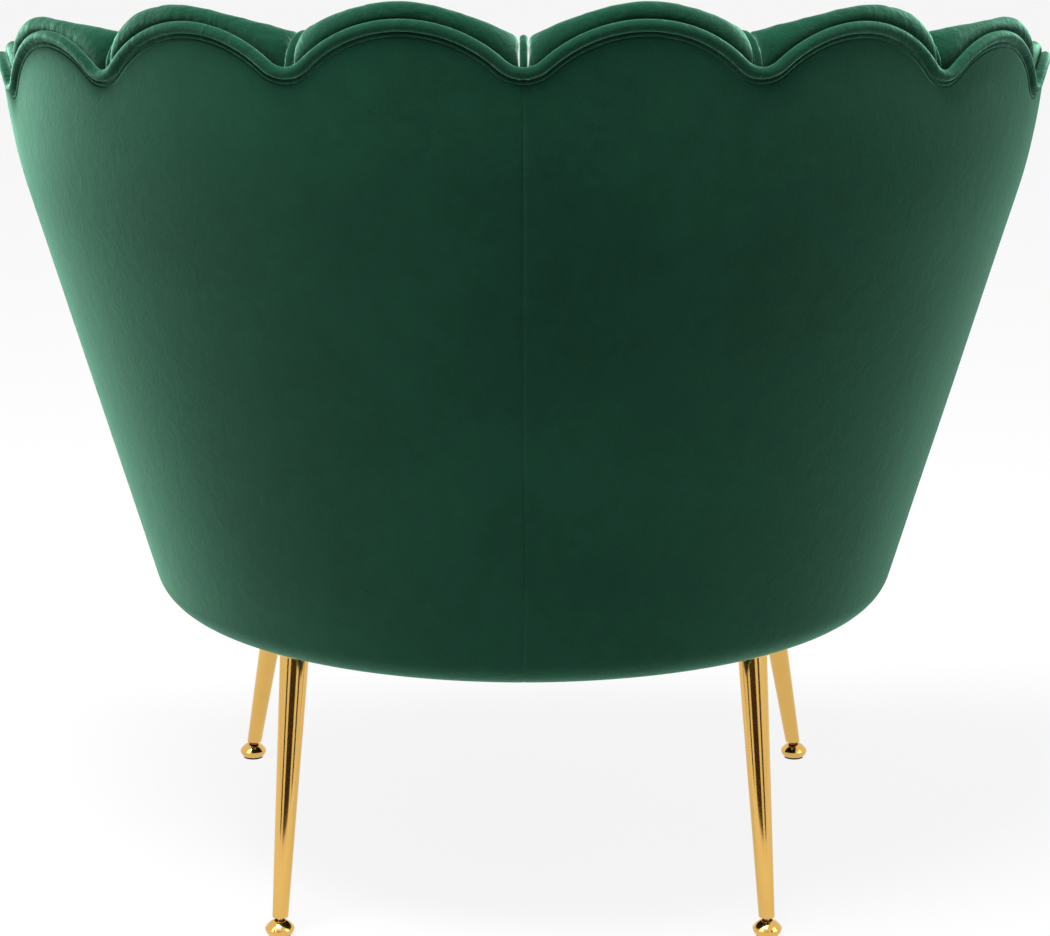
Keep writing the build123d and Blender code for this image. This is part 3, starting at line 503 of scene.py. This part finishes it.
def grid_piece(name, columns, rows, place):
    """A grid whose corner-to-corner steps are put in place one by one."""
    bpy.ops.object.select_all(action="DESELECT")
    bpy.ops.mesh.primitive_grid_add(x_subdivisions=columns, y_subdivisions=rows, size=2.0)
    piece = bpy.context.active_object
    piece.name = name
    piece.data.name = name
    for vertex in piece.data.vertices:
        column = round((vertex.co.x + 1) / 2 * columns)
        row = round((vertex.co.y + 1) / 2 * rows)
        vertex.co = place(column, row)
    return piece


def thicken(piece, thickness):
    """Give a sheet its thickness, inward."""
    select_only(piece)
    solid = piece.modifiers.new("thickness", "SOLIDIFY")
    solid.thickness = thickness
    solid.offset = -1.0
    bpy.ops.object.modifier_apply(modifier=solid.name)


def flip(piece):
    """Turn a sheet's faces over."""
    select_only(piece)
    bpy.ops.object.mode_set(mode="EDIT")
    bpy.ops.mesh.select_all(action="SELECT")
    bpy.ops.mesh.flip_normals()
    bpy.ops.object.mode_set(mode="OBJECT")


def cover_columns(wall):
    """Places along the rim of the cover's columns, close together at the seam and the arm's front."""
    near_seam = [0.0, 0.0003, 0.0007, 0.0012, 0.0018, 0.0026, 0.0038, 0.0056, 0.0080]
    spacing = 0.0030
    even = round((wall.nose_start - near_seam[-1]) / spacing)
    columns = near_seam[:-1]
    columns += [near_seam[-1] + (wall.nose_start - near_seam[-1]) * k / even for k in range(even)]
    front = 48
    reach = wall.front - wall.nose_start
    columns += [wall.nose_start + reach * math.sin(math.pi / 2 * k / front) for k in range(front + 1)]
    return columns


class CHAIR_OT_outer_cover(bpy.types.Operator):
    """Stretched velvet cover in two halves, sewn together at the rear centre"""

    bl_idname = "chair.outer_cover"
    bl_label = "Outer cover"

    def execute(self, context):
        sizes = context.scene.chair_upholstery
        wall = ScallopedWall(context.scene.chair_wall)
        columns = cover_columns(wall)
        heights = [wall.edge_height(along) for along in columns]
        corner_rows = 10
        wall_rows = 64
        crowding = 1.35                       # draws the rows together towards the edge
        waves_along, waves_up = 9.0, 7.0      # per metre
        puckers = 90.0                        # per metre of the seam
        swing = context.scene.chair_wall.base_edge
        lean = context.scene.chair_wall.lean

        def spot(side, column, row):
            along = columns[column]
            if row <= corner_rows:
                turn = -math.pi / 2 + (math.pi / 2 - lean) * row / corner_rows
                radius = wall.edge_centre_radius + swing * math.cos(turn)
                height = wall.edge_centre_height + swing * math.sin(turn)
            else:
                low = wall.edge_centre_height - swing * math.sin(lean)
                share = (row - corner_rows) / wall_rows
                height = low + (heights[column] - low) * (1 - (1 - share) ** crowding)
                radius = wall.radius(height, 0.0)
            wave = noise.noise(Vector((along * waves_along + side * 5.0, height * waves_up, 0.5)))
            rise = (height - wall.edge_centre_height) / (heights[column] - wall.edge_centre_height)
            calm = max(0.0, min(1.0, 6 * rise, 8 * (1 - rise)))
            radius += sizes.cover_wave * (wave - 0.5) * calm
            pucker = 0.75 + 0.25 * noise.noise(Vector((height * puckers, side, 2.0)))
            radius -= sizes.seam_depth * pucker * math.exp(-((along / sizes.seam_width) ** 2))
            point = wall.place(along, radius, height)
            return (point.x * side, point.y, point.z)

        for side, name in ((1, "outer_cover_left"), (-1, "outer_cover_right")):
            piece = grid_piece(
                "velvet_" + name, len(columns) - 1, corner_rows + wall_rows,
                lambda column, row: spot(side, column, row),
            )
            if side == 1:
                flip(piece)
            thicken(piece, sizes.cover_thickness)
            finish_piece(piece, velvet_of(context), "velvet", name)
        return {"FINISHED"}


def cord_piece(name, points, diameter):
    """A round cord through points, as a mesh with closed ends."""
    curve = bpy.data.curves.new(name, "CURVE")
    curve.dimensions = "3D"
    curve.twist_mode = "MINIMUM"
    spline = curve.splines.new("POLY")
    spline.points.add(len(points) - 1)
    for spot, point in zip(spline.points, points):
        spot.co = (*point, 1.0)
    curve.bevel_depth = diameter / 2
    curve.bevel_resolution = 4
    curve.use_fill_caps = True
    piece = bpy.data.objects.new(name, curve)
    bpy.context.scene.collection.objects.link(piece)
    select_only(piece)
    bpy.ops.object.convert(target="MESH")
    return bpy.context.active_object


class CHAIR_OT_rim_cords(bpy.types.Operator):
    """Thin ridge and thick welt that run along the scalloped edge and down the arms' fronts"""

    bl_idname = "chair.rim_cords"
    bl_label = "Ridge and welt"

    def execute(self, context):
        sizes = context.scene.chair_upholstery
        wall = ScallopedWall(context.scene.chair_wall)
        cords = (
            ("rim_ridge", sizes.ridge_outset, sizes.ridge_diameter / 4, sizes.ridge_diameter),
            ("rim_welt", sizes.welt_outset, 0.0, sizes.welt_diameter),
        )
        spacing = 0.003
        for name, outset, depth, diameter in cords:
            line = wall.edge_line(outset, spacing, wall.edge_centre_height)
            left = [wall.point(along, height, depth) for along, height in line]
            right = [Vector((-p.x, p.y, p.z)) for p in reversed(left[1:])]
            piece = cord_piece("velvet_" + name, right + left, diameter)
            finish_piece(piece, stuffed_velvet_of(context), "velvet_cord", name)
        return {"FINISHED"}


def tree_of(piece):
    """A piece's faces, to look up the nearest point on them."""
    corners = [vertex.co for vertex in piece.data.vertices]
    return BVHTree.FromPolygons(corners, [face.vertices for face in piece.data.polygons])


def soft_copy(node, name, voxel, smooth):
    """An even, rounded-off copy of a CAD solid, to be filled."""
    mesh = frame["nodes"][node].data.copy()
    piece = bpy.data.objects.new(name, mesh)
    bpy.context.scene.collection.objects.link(piece)
    select_only(piece)
    bpy.ops.object.mode_set(mode="EDIT")
    bpy.ops.mesh.select_all(action="SELECT")
    bpy.ops.mesh.remove_doubles(threshold=1e-5)
    bpy.ops.object.mode_set(mode="OBJECT")
    mesh.remesh_voxel_size = voxel
    mesh.remesh_voxel_adaptivity = 0.0
    bpy.ops.object.voxel_remesh()
    bpy.ops.object.mode_set(mode="EDIT")
    bpy.ops.mesh.select_all(action="SELECT")
    bpy.ops.mesh.vertices_smooth(factor=0.5, repeat=smooth)
    bpy.ops.object.mode_set(mode="OBJECT")
    return_share = 0.8
    solid = tree_of(frame["nodes"][node])
    for vertex in piece.data.vertices:
        spot = solid.find_nearest(vertex.co)[0]
        vertex.co += (spot - vertex.co) * return_share
    return piece


def fill(piece, held, pressure, cap):
    """Swell a padded piece as cloth under pressure, with its sewn places held, and cap the movement."""
    start = [vertex.co.copy() for vertex in piece.data.vertices]
    group = piece.vertex_groups.new(name="sewn")
    group.add(held, 1.0, "REPLACE")
    select_only(piece)
    cloth = piece.modifiers.new("filling", "CLOTH")
    cloth.settings.quality = 5
    cloth.settings.mass = 0.3
    cloth.settings.tension_stiffness = 15.0
    cloth.settings.compression_stiffness = 15.0
    cloth.settings.shear_stiffness = 5.0
    cloth.settings.bending_stiffness = 0.6
    cloth.settings.use_pressure = True
    cloth.settings.uniform_pressure_force = pressure
    cloth.settings.vertex_group_mass = group.name
    cloth.settings.effector_weights.gravity = 0.0
    cloth.collision_settings.use_collision = False
    cloth.collision_settings.use_self_collision = False
    last_step = 20
    for step in range(1, last_step + 1):
        bpy.context.scene.frame_set(step)
    bpy.ops.object.modifier_apply(modifier=cloth.name)
    bpy.context.scene.frame_set(1)
    for vertex, before in zip(piece.data.vertices, start):
        move = vertex.co - before
        if move.length > cap:
            vertex.co = before + move * (cap / move.length)
    piece.vertex_groups.clear()


def clear_of(piece, others, gap):
    """Press a soft piece's points out of its neighbours, with a small gap left."""
    reach = 0.015
    for other in others:
        tree = tree_of(other)
        for vertex in piece.data.vertices:
            spot, normal, _, _ = tree.find_nearest(vertex.co, reach)
            if spot is not None and (vertex.co - spot).dot(normal) < gap:
                vertex.co = spot + normal * gap


def soften(piece, depth, grain):
    """Slight unevenness of stuffed cloth, along the surface's normals."""
    finer = 3.1
    fine_share = 0.4
    moves = []
    for vertex in piece.data.vertices:
        broad = noise.noise(vertex.co / grain)
        fine = noise.noise(vertex.co / grain * finer)
        moves.append(vertex.normal * depth * (broad + fine_share * fine))
    for vertex, move in zip(piece.data.vertices, moves):
        vertex.co += move


def round_off(piece):
    """One level of subdivision, applied."""
    select_only(piece)
    finer = piece.modifiers.new("round", "SUBSURF")
    finer.levels = 1
    finer.render_levels = 1
    bpy.ops.object.modifier_apply(modifier=finer.name)


def twin(piece, name):
    """The same piece on the other side."""
    mesh = piece.data.copy()
    for vertex in mesh.vertices:
        vertex.co.x = -vertex.co.x
    mesh.flip_normals()
    other = bpy.data.objects.new(name, mesh)
    bpy.context.scene.collection.objects.link(other)
    return other


class CHAIR_OT_petals(bpy.types.Operator):
    """Padded petals of the back and arms, which stand on the seat and roll over the rim"""

    bl_idname = "chair.petals"
    bl_label = "Petals"

    def execute(self, context):
        sizes = context.scene.chair_upholstery
        wall = ScallopedWall(context.scene.chair_wall)
        cords = [bpy.data.objects["velvet_" + name] for name in ("rim_ridge", "rim_welt", "petal_piping")]
        for index in range(1, ROUND_PETALS + 2):
            name = f"petal_left_{index}"
            piece = soft_copy(name, "velvet_" + name, sizes.voxel, 3)
            fill(piece, self.sewn(piece, wall), sizes.pressure, sizes.petal_swell)
            soften(piece, sizes.petal_dents, sizes.dent_size)
            self.between_valleys(piece, wall, index, sizes.petal_gap)
            clear_of(piece, cords, sizes.petal_gap)
            round_off(piece)
            other_name = f"petal_right_{index}"
            other = twin(piece, "velvet_" + other_name)
            for petal, node in ((piece, name), (other, other_name)):
                finish_piece(petal, stuffed_velvet_of(context), "velvet", node)
        return {"FINISHED"}

    @staticmethod
    def between_valleys(piece, wall, index, gap):
        """Keep a petal on its own side of the valleys' planes."""
        axis = Vector((0.0, wall.sizes.axis_y, 0.0))
        for valley, side in ((index - 1, 1.0), (index, -1.0)):
            if valley > ROUND_PETALS:
                continue
            turn = wall.sizes.petal_angle * valley
            ahead = Vector((math.cos(turn), -math.sin(turn), 0.0)) * side
            for vertex in piece.data.vertices:
                short = gap - (vertex.co - axis).dot(ahead)
                if short > 0.0:
                    vertex.co += ahead * short

    @staticmethod
    def sewn(piece, wall):
        """Points of the petal's back and foot, which are fixed to the frame."""
        held = []
        foot_strip = 0.008
        tucked_depth = 0.012
        facing_out = 0.3
        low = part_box("petal_left_1")[0].z + foot_strip
        axis = Vector((0.0, wall.sizes.axis_y, 0.0))
        for vertex in piece.data.vertices:
            out = vertex.co - axis
            out.z = 0.0
            out.normalize()
            outward = vertex.normal.dot(out)
            depth = wall.radius(vertex.co.z, 0.0) - (vertex.co - axis).to_2d().length
            if vertex.co.z < low or (outward > facing_out and depth > tucked_depth):
                held.append(vertex.index)
        return held


class CHAIR_OT_petal_piping(bpy.types.Operator):
    """Piping between neighbouring petals, over the roll and down to the seat"""

    bl_idname = "chair.petal_piping"
    bl_label = "Petal piping"

    def execute(self, context):
        grain = 0.0014
        piece = soft_copy("petal_piping", "velvet_petal_piping", grain, 2)
        finish_piece(piece, stuffed_velvet_of(context), "velvet_cord", "petal_piping")
        return {"FINISHED"}


class CHAIR_OT_seat_cushion(bpy.types.Operator):
    """Crowned seat cushion"""

    bl_idname = "chair.seat_cushion"
    bl_label = "Seat cushion"

    def execute(self, context):
        sizes = context.scene.chair_upholstery
        piece = soft_copy("seat_cushion", "velvet_seat_cushion", sizes.voxel, 4)
        foot_strip = 0.006
        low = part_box("seat_cushion")[0].z + foot_strip
        held = [v.index for v in piece.data.vertices if v.co.z < low]
        fill(piece, held, sizes.pressure, sizes.cushion_swell)
        soften(piece, sizes.petal_dents, sizes.dent_size * 2)
        petals = [o for o in bpy.data.objects if o.name.startswith("velvet_petal_") and o.name[-1].isdigit()]
        clear_of(piece, petals, sizes.petal_gap)
        round_off(piece)
        finish_piece(piece, stuffed_velvet_of(context), "velvet", "seat_cushion")
        return {"FINISHED"}


class CHAIR_OT_front_border(bpy.types.Operator):
    """Velvet border across the front, below the cushion"""

    bl_idname = "chair.front_border"
    bl_label = "Front border"

    def execute(self, context):
        sizes = context.scene.chair_upholstery
        wall = ScallopedWall(context.scene.chair_wall)
        low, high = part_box("front_border")
        columns = 120
        rows = 30
        front_gap = 0.0033
        welt_gap = 0.0006
        puff_depth = 0.0022
        ahead = wall.front + front_gap
        depth = sizes.welt_diameter / 2 + welt_gap

        def spot(column, row):
            share = row / rows
            height = low.z + (high.z - low.z) * share
            corner = wall.point(ahead, height, depth)
            bulge = sizes.border_bulge
            radius = (corner.x**2 + bulge**2) / (2 * bulge)
            x = corner.x * (2 * column / columns - 1)
            y = corner.y - bulge + radius - math.sqrt(radius**2 - x**2)
            puff = puff_depth * math.sin(math.pi * share) ** 0.5 * (1 - (2 * column / columns - 1) ** 8)
            return (x, y - puff, height)

        piece = grid_piece("velvet_front_border", columns, rows, spot)
        thicken(piece, sizes.cover_thickness)
        finish_piece(piece, velvet_of(context), "velvet", "front_border")
        return {"FINISHED"}


def gold_of(context):
    """The plating of the legs and feet."""
    gold = context.scene.chair_finishes.gold
    return shared("polished_gold", lambda: polished_metal("polished_gold", gold, 0.07, 0.09))


def zinc_of(context):
    """The plating of stems and screws."""
    zinc = context.scene.chair_finishes.zinc
    return shared("bright_zinc", lambda: polished_metal("bright_zinc", zinc, 0.2, 0.15))


def leg_ends(context, leg):
    """Lower and upper end of a leg's axis."""
    sizes = context.scene.chair_legs
    axis_y = context.scene.chair_wall.axis_y
    foot, top = (sizes.rear_foot, sizes.rear_top) if "rear" in leg else (sizes.front_foot, sizes.front_top)
    side = 1 if leg.endswith("left") else -1
    low = Vector((side * foot[0], axis_y + foot[1], sizes.end_height))
    high = Vector((side * top[0], axis_y + top[1], sizes.top_height))
    return low, high


def tapered_tube(name, low, high, sizes):
    """A leg: a cone along its axis, cut level at both ends and given its wall."""
    line = high - low
    spare = sizes.top_diameter
    taper = (sizes.top_diameter - sizes.end_diameter) / 2 / line.length
    bpy.ops.object.select_all(action="DESELECT")
    bpy.ops.mesh.primitive_cone_add(
        vertices=72,
        radius1=sizes.end_diameter / 2 - taper * spare,
        radius2=sizes.top_diameter / 2 + taper * spare,
        depth=line.length + 2 * spare,
        end_fill_type="NOTHING",
        location=(low + high) / 2,
        rotation=line.to_track_quat("Z", "Y").to_euler(),
    )
    piece = bpy.context.active_object
    piece.name = name
    piece.data.name = name
    bpy.ops.object.transform_apply(location=True, rotation=True, scale=True)
    bpy.ops.object.mode_set(mode="EDIT")
    for point, direction in ((low, (0.0, 0.0, -1.0)), (high, (0.0, 0.0, 1.0))):
        bpy.ops.mesh.select_all(action="SELECT")
        bpy.ops.mesh.bisect(plane_co=point, plane_no=direction, clear_outer=True)
    bpy.ops.object.mode_set(mode="OBJECT")
    thicken(piece, sizes.leg_wall)
    rim = piece.modifiers.new("rim", "BEVEL")
    rim.width = sizes.rim_round
    rim.segments = 3
    rim.limit_method = "ANGLE"
    bpy.ops.object.modifier_apply(modifier=rim.name)
    return piece


def bell_outline(sizes):
    """Half the bell's outline from under its foot, up its outside and down into its mouth."""
    foot = (sizes.bell_foot_diameter / 2, sizes.bell_foot)
    waist = (sizes.bell_diameter / 2, sizes.bell_waist)
    mouth = (sizes.bell_top_diameter / 2, sizes.bell_top)
    lip = 0.0008
    throat = 0.0028
    seat_rise = 0.0012
    hollow_width, hollow_rise = 0.003, 0.0008
    edge_width = 0.0006
    steps = 9
    outline = [(foot[0] - hollow_width, foot[1] + hollow_rise), (foot[0] - edge_width, foot[1])]
    for start, end in ((foot, waist), (waist, mouth)):
        run = Vector(end) - Vector(start)
        out = Vector((run.y, -run.x)).normalized()
        for step in range(steps + 1):
            share = step / steps
            swell = sizes.bell_bulge * (1 - (2 * share - 1) ** 2)
            outline.append(tuple(Vector(start) + run * share + out * swell))
    outline += [(mouth[0] - lip, mouth[1]), (throat, sizes.ball_height + seat_rise)]
    return outline


def turned_bell(name, sizes):
    """A bell: a ring extruded and resized step by step along its outline."""
    outline = bell_outline(sizes)
    bpy.ops.object.select_all(action="DESELECT")
    bpy.ops.mesh.primitive_circle_add(
        vertices=72, radius=outline[0][0], fill_type="NOTHING", location=(0.0, 0.0, outline[0][1])
    )
    piece = bpy.context.active_object
    piece.name = name
    piece.data.name = name
    bpy.ops.object.transform_apply(location=True, rotation=True, scale=True)
    bpy.ops.object.mode_set(mode="EDIT")
    bpy.ops.mesh.select_all(action="SELECT")
    for before, after in zip(outline, outline[1:]):
        rise = (0.0, 0.0, after[1] - before[1])
        grow = after[0] / before[0]
        bpy.ops.mesh.extrude_edges_move(TRANSFORM_OT_translate={"value": rise})
        bpy.ops.transform.resize(value=(grow, grow, 1.0), center_override=(0.0, 0.0, after[1]))
    bpy.ops.mesh.select_all(action="SELECT")
    bpy.ops.mesh.remove_doubles(threshold=1e-6)
    bpy.ops.object.mode_set(mode="OBJECT")
    return piece


class CHAIR_OT_legs(bpy.types.Operator):
    """Polished gold legs with their plates, and the plugs in their ends"""

    bl_idname = "chair.legs"
    bl_label = "Legs"

    def execute(self, context):
        sizes = context.scene.chair_legs
        plastic = matte("plug_plastic", context.scene.chair_finishes.plastic, 0.8, 0.2, 0.55)
        for leg in LEGS:
            low, high = leg_ends(context, leg)
            piece = tapered_tube("gold_leg_" + leg, low, high, sizes)
            finish_piece(piece, gold_of(context), "gold_metal", "leg_" + leg)
            crisp_edges(piece, 40.0)
            dress_node("leg_plate_" + leg, gold_of(context))
            dress_node("leg_plug_" + leg, plastic)
        dress_node("leg_screws", zinc_of(context))
        return {"FINISHED"}


class CHAIR_OT_feet(bpy.types.Operator):
    """Levelling feet: gold bells on zinc-plated stems, with rubber pads"""

    bl_idname = "chair.feet"
    bl_label = "Levelling feet"

    def execute(self, context):
        sizes = context.scene.chair_legs
        rubber = matte("black_rubber", context.scene.chair_finishes.rubber, 0.6, 0.25, 0.7)
        first = turned_bell("gold_bell_" + LEGS[0], sizes)
        pattern = first.data.copy()
        for leg in LEGS:
            piece = first
            if leg != LEGS[0]:
                piece = bpy.data.objects.new("gold_bell_" + leg, pattern.copy())
                context.scene.collection.objects.link(piece)
            low, high = leg_ends(context, leg)
            line = (high - low).normalized()
            ball = low - line * ((sizes.end_height - sizes.ball_height) / line.z)
            for vertex in piece.data.vertices:
                vertex.co += Vector((ball.x, ball.y, 0.0))
            finish_piece(piece, gold_of(context), "gold_metal", "foot_bell_" + leg, body="foot_" + leg)
            crisp_edges(piece, 32.0)
            dress_node("foot_stem_" + leg, zinc_of(context))
            dress_node("foot_pad_" + leg, rubber)
        bpy.data.meshes.remove(pattern)
        return {"FINISHED"}


class CHAIR_OT_inner_frame(bpy.types.Operator):
    """Timber, linings and springs inside the upholstery, and the cloth under the seat"""

    bl_idname = "chair.inner_frame"
    bl_label = "Inner frame"

    def execute(self, context):
        finishes = context.scene.chair_finishes
        timber = matte("sawn_timber", finishes.timber, 6.0, 0.35, 0.7, (1.0, 1.0, 0.08))
        board = matte("lining_board", finishes.board, 3.0, 0.2, 0.85)
        canvas = matte("lining_canvas", finishes.canvas, 1.2, 0.3, 0.9)
        deck = matte("deck_cloth", finishes.deck_cloth, 1.2, 0.3, 0.9)
        dust = matte("black_dust_cloth", finishes.dust_cloth, 1.0, 0.35, 0.9)
        steel = polished_metal("spring_steel", finishes.steel, 0.35, 0.15)
        groups = (
            (timber, ("rim_rail", "waist_rail", "lower_ribs", "upper_ribs", "rear_rail", "side_rail_left")),
            (timber, ("side_rail_right", "front_rail", "corner_blocks", "base_board")),
            (board, ("outer_lining",)),
            (canvas, ("inner_lining",)),
            (deck, ("seat_deck",)),
            (dust, ("dust_cover",)),
            (steel, ("seat_springs", "spring_clips")),
        )
        for material, nodes in groups:
            for name in nodes:
                dress_node(name, material)
        return {"FINISHED"}


class CHAIR_OT_stage(bpy.types.Operator):
    """Pale floor, soft studio light and the camera"""

    bl_idname = "chair.stage"
    bl_label = "Stage"

    def execute(self, context):
        scene = context.scene
        scene.view_settings.view_transform = "Standard"
        self.floor(scene)
        self.flags(scene)
        self.world(scene)
        self.lamps()
        self.camera(scene)
        return {"FINISHED"}

    @staticmethod
    def floor(scene):
        bpy.ops.object.select_all(action="DESELECT")
        bpy.ops.mesh.primitive_plane_add(size=60.0, location=(0.0, 0.0, 0.0))
        piece = bpy.context.active_object
        piece.name = "studio_floor"
        made, tree, shader = new_material("studio_floor")
        shader.inputs["Base Color"].default_value = linear(scene.chair_finishes.floor)
        shader.inputs["Roughness"].default_value = 0.9
        glow = 0.88
        _, seen = seen_or_mirrored(tree)
        share = add_node(tree, "ShaderNodeMath", {0: seen, 1: glow}, operation="MULTIPLY")
        white = add_node(tree, "ShaderNodeEmission", {"Color": (1.0, 1.0, 1.0, 1.0), "Strength": 1.0})
        mix = add_node(
            tree, "ShaderNodeMixShader",
            {0: share.outputs[0], 1: shader.outputs["BSDF"], 2: white.outputs["Emission"]},
        )
        output = next(n for n in tree.nodes if n.type == "OUTPUT_MATERIAL")
        tree.links.new(mix.outputs["Shader"], output.inputs["Surface"])
        piece.data.materials.append(made)

    @staticmethod
    def flags(scene):
        """Dark panels behind the chair, unseen by the camera; only mirror-like surfaces show them."""
        made, _, shader = new_material("studio_flag")
        shader.inputs["Base Color"].default_value = linear(scene.chair_finishes.flag)
        shader.inputs["Roughness"].default_value = 0.9
        distance = 1.3
        height = 1.1
        panels = (
            ("flag_left", 47.0, 0.24),
            ("flag_middle", 4.0, 1.05),
            ("flag_right", -42.0, 0.30),
        )
        for name, turn, width in panels:
            spot = Vector((math.sin(math.radians(turn)), math.cos(math.radians(turn)), 0.0)) * distance
            bpy.ops.object.select_all(action="DESELECT")
            bpy.ops.mesh.primitive_plane_add(size=1.0)
            piece = bpy.context.active_object
            piece.name = name
            for vertex in piece.data.vertices:
                across, up = vertex.co.x * width, (vertex.co.y + 0.5) * height
                side = Vector((spot.y, -spot.x, 0.0)).normalized()
                vertex.co = spot + side * across + Vector((0.0, 0.0, up))
            piece.data.materials.append(made)
            piece.visible_camera = False
            piece.visible_diffuse = False
            piece.visible_shadow = False

    @staticmethod
    def world(scene):
        """White where the camera or a mirror looks at it, and soft light elsewhere."""
        world = bpy.data.worlds.new("studio")
        world.use_nodes = True
        tree = world.node_tree
        soft_light = 0.28
        ray, seen = seen_or_mirrored(tree)
        through = {0: seen, 1: ray.outputs["Is Transmission Ray"]}
        seen = add_node(tree, "ShaderNodeMath", through, operation="MAXIMUM").outputs[0]
        strength = add_node(
            tree, "ShaderNodeMapRange", {"Value": seen, "To Min": soft_light, "To Max": 1.0}
        )
        tree.links.new(strength.outputs["Result"], tree.nodes["Background"].inputs["Strength"])
        tree.nodes["Background"].inputs["Color"].default_value = (1.0, 1.0, 1.0, 1.0)
        scene.world = world

    @staticmethod
    def lamps():
        lamps = (
            ("key", (2.4, 1.8, 2.8), (0.0, 0.1, 0.5), 1.8, 27.0),
            ("fill", (-2.8, 1.2, 2.0), (0.0, 0.0, 0.45), 1.8, 20.0),
            ("top", (0.35, 0.65, 2.4), (0.0, 0.1, 0.5), 1.2, 140.0),
        )
        for name, spot, target, size, power in lamps:
            lamp = bpy.data.lights.new(name, "AREA")
            lamp.size = size
            lamp.energy = power
            holder = bpy.data.objects.new(name, lamp)
            bpy.context.scene.collection.objects.link(holder)
            holder.location = spot
            aim = Vector(target) - Vector(spot)
            holder.rotation_euler = aim.to_track_quat("-Z", "Y").to_euler()

    @staticmethod
    def camera(scene):
        """The camera that was fitted to the photograph."""
        frame_width = 1050
        sideways = 1.5                        # pixels of the frame
        behind_axis, height = 2.7971, 0.9967
        tilt_down = 13.873
        lens = bpy.data.cameras.new("camera")
        lens.sensor_width = 36.0
        lens.lens = 125.4
        lens.shift_x = sideways / frame_width
        lens.clip_end = 100.0
        holder = bpy.data.objects.new("camera", lens)
        scene.collection.objects.link(holder)
        holder.location = (0.0, behind_axis + scene.chair_wall.axis_y, height)
        holder.rotation_euler = (math.radians(90.0 - tilt_down), 0.0, math.pi)
        scene.camera = holder


PIECES = (
    CHAIR_OT_outer_cover,
    CHAIR_OT_rim_cords,
    CHAIR_OT_petal_piping,
    CHAIR_OT_petals,
    CHAIR_OT_seat_cushion,
    CHAIR_OT_front_border,
    CHAIR_OT_legs,
    CHAIR_OT_feet,
    CHAIR_OT_inner_frame,
    CHAIR_OT_stage,
)


class CHAIR_PT_panel(bpy.types.Panel):
    """Buttons for the armchair's pieces"""

    bl_idname = "CHAIR_PT_panel"
    bl_label = "Scalloped Tub Armchair"
    bl_space_type = "VIEW_3D"
    bl_region_type = "UI"
    bl_category = "Armchair"

    def draw(self, context):
        for piece in PIECES:
            self.layout.operator(piece.bl_idname)


GROUPS = (
    ("chair_wall", WallSizes),
    ("chair_upholstery", UpholsterySizes),
    ("chair_legs", LegSizes),
    ("chair_finishes", Finishes),
)


def register():
    for _, group in GROUPS:
        bpy.utils.register_class(group)
    for piece in (*PIECES, CHAIR_PT_panel):
        bpy.utils.register_class(piece)
    for name, group in GROUPS:
        setattr(bpy.types.Scene, name, bpy.props.PointerProperty(type=group))


def unregister():
    for name, _ in GROUPS:
        delattr(bpy.types.Scene, name)
    for piece in (CHAIR_PT_panel, *reversed(PIECES)):
        bpy.utils.unregister_class(piece)
    for _, group in reversed(GROUPS):
        bpy.utils.unregister_class(group)


def main():
    register()
    bpy.ops.chair.outer_cover()
    bpy.ops.chair.rim_cords()
    bpy.ops.chair.petal_piping()
    bpy.ops.chair.petals()
    bpy.ops.chair.seat_cushion()
    bpy.ops.chair.front_border()
    bpy.ops.chair.legs()
    bpy.ops.chair.feet()
    bpy.ops.chair.inner_frame()
    bpy.ops.chair.stage()


if __name__ == "__main__":
    main()
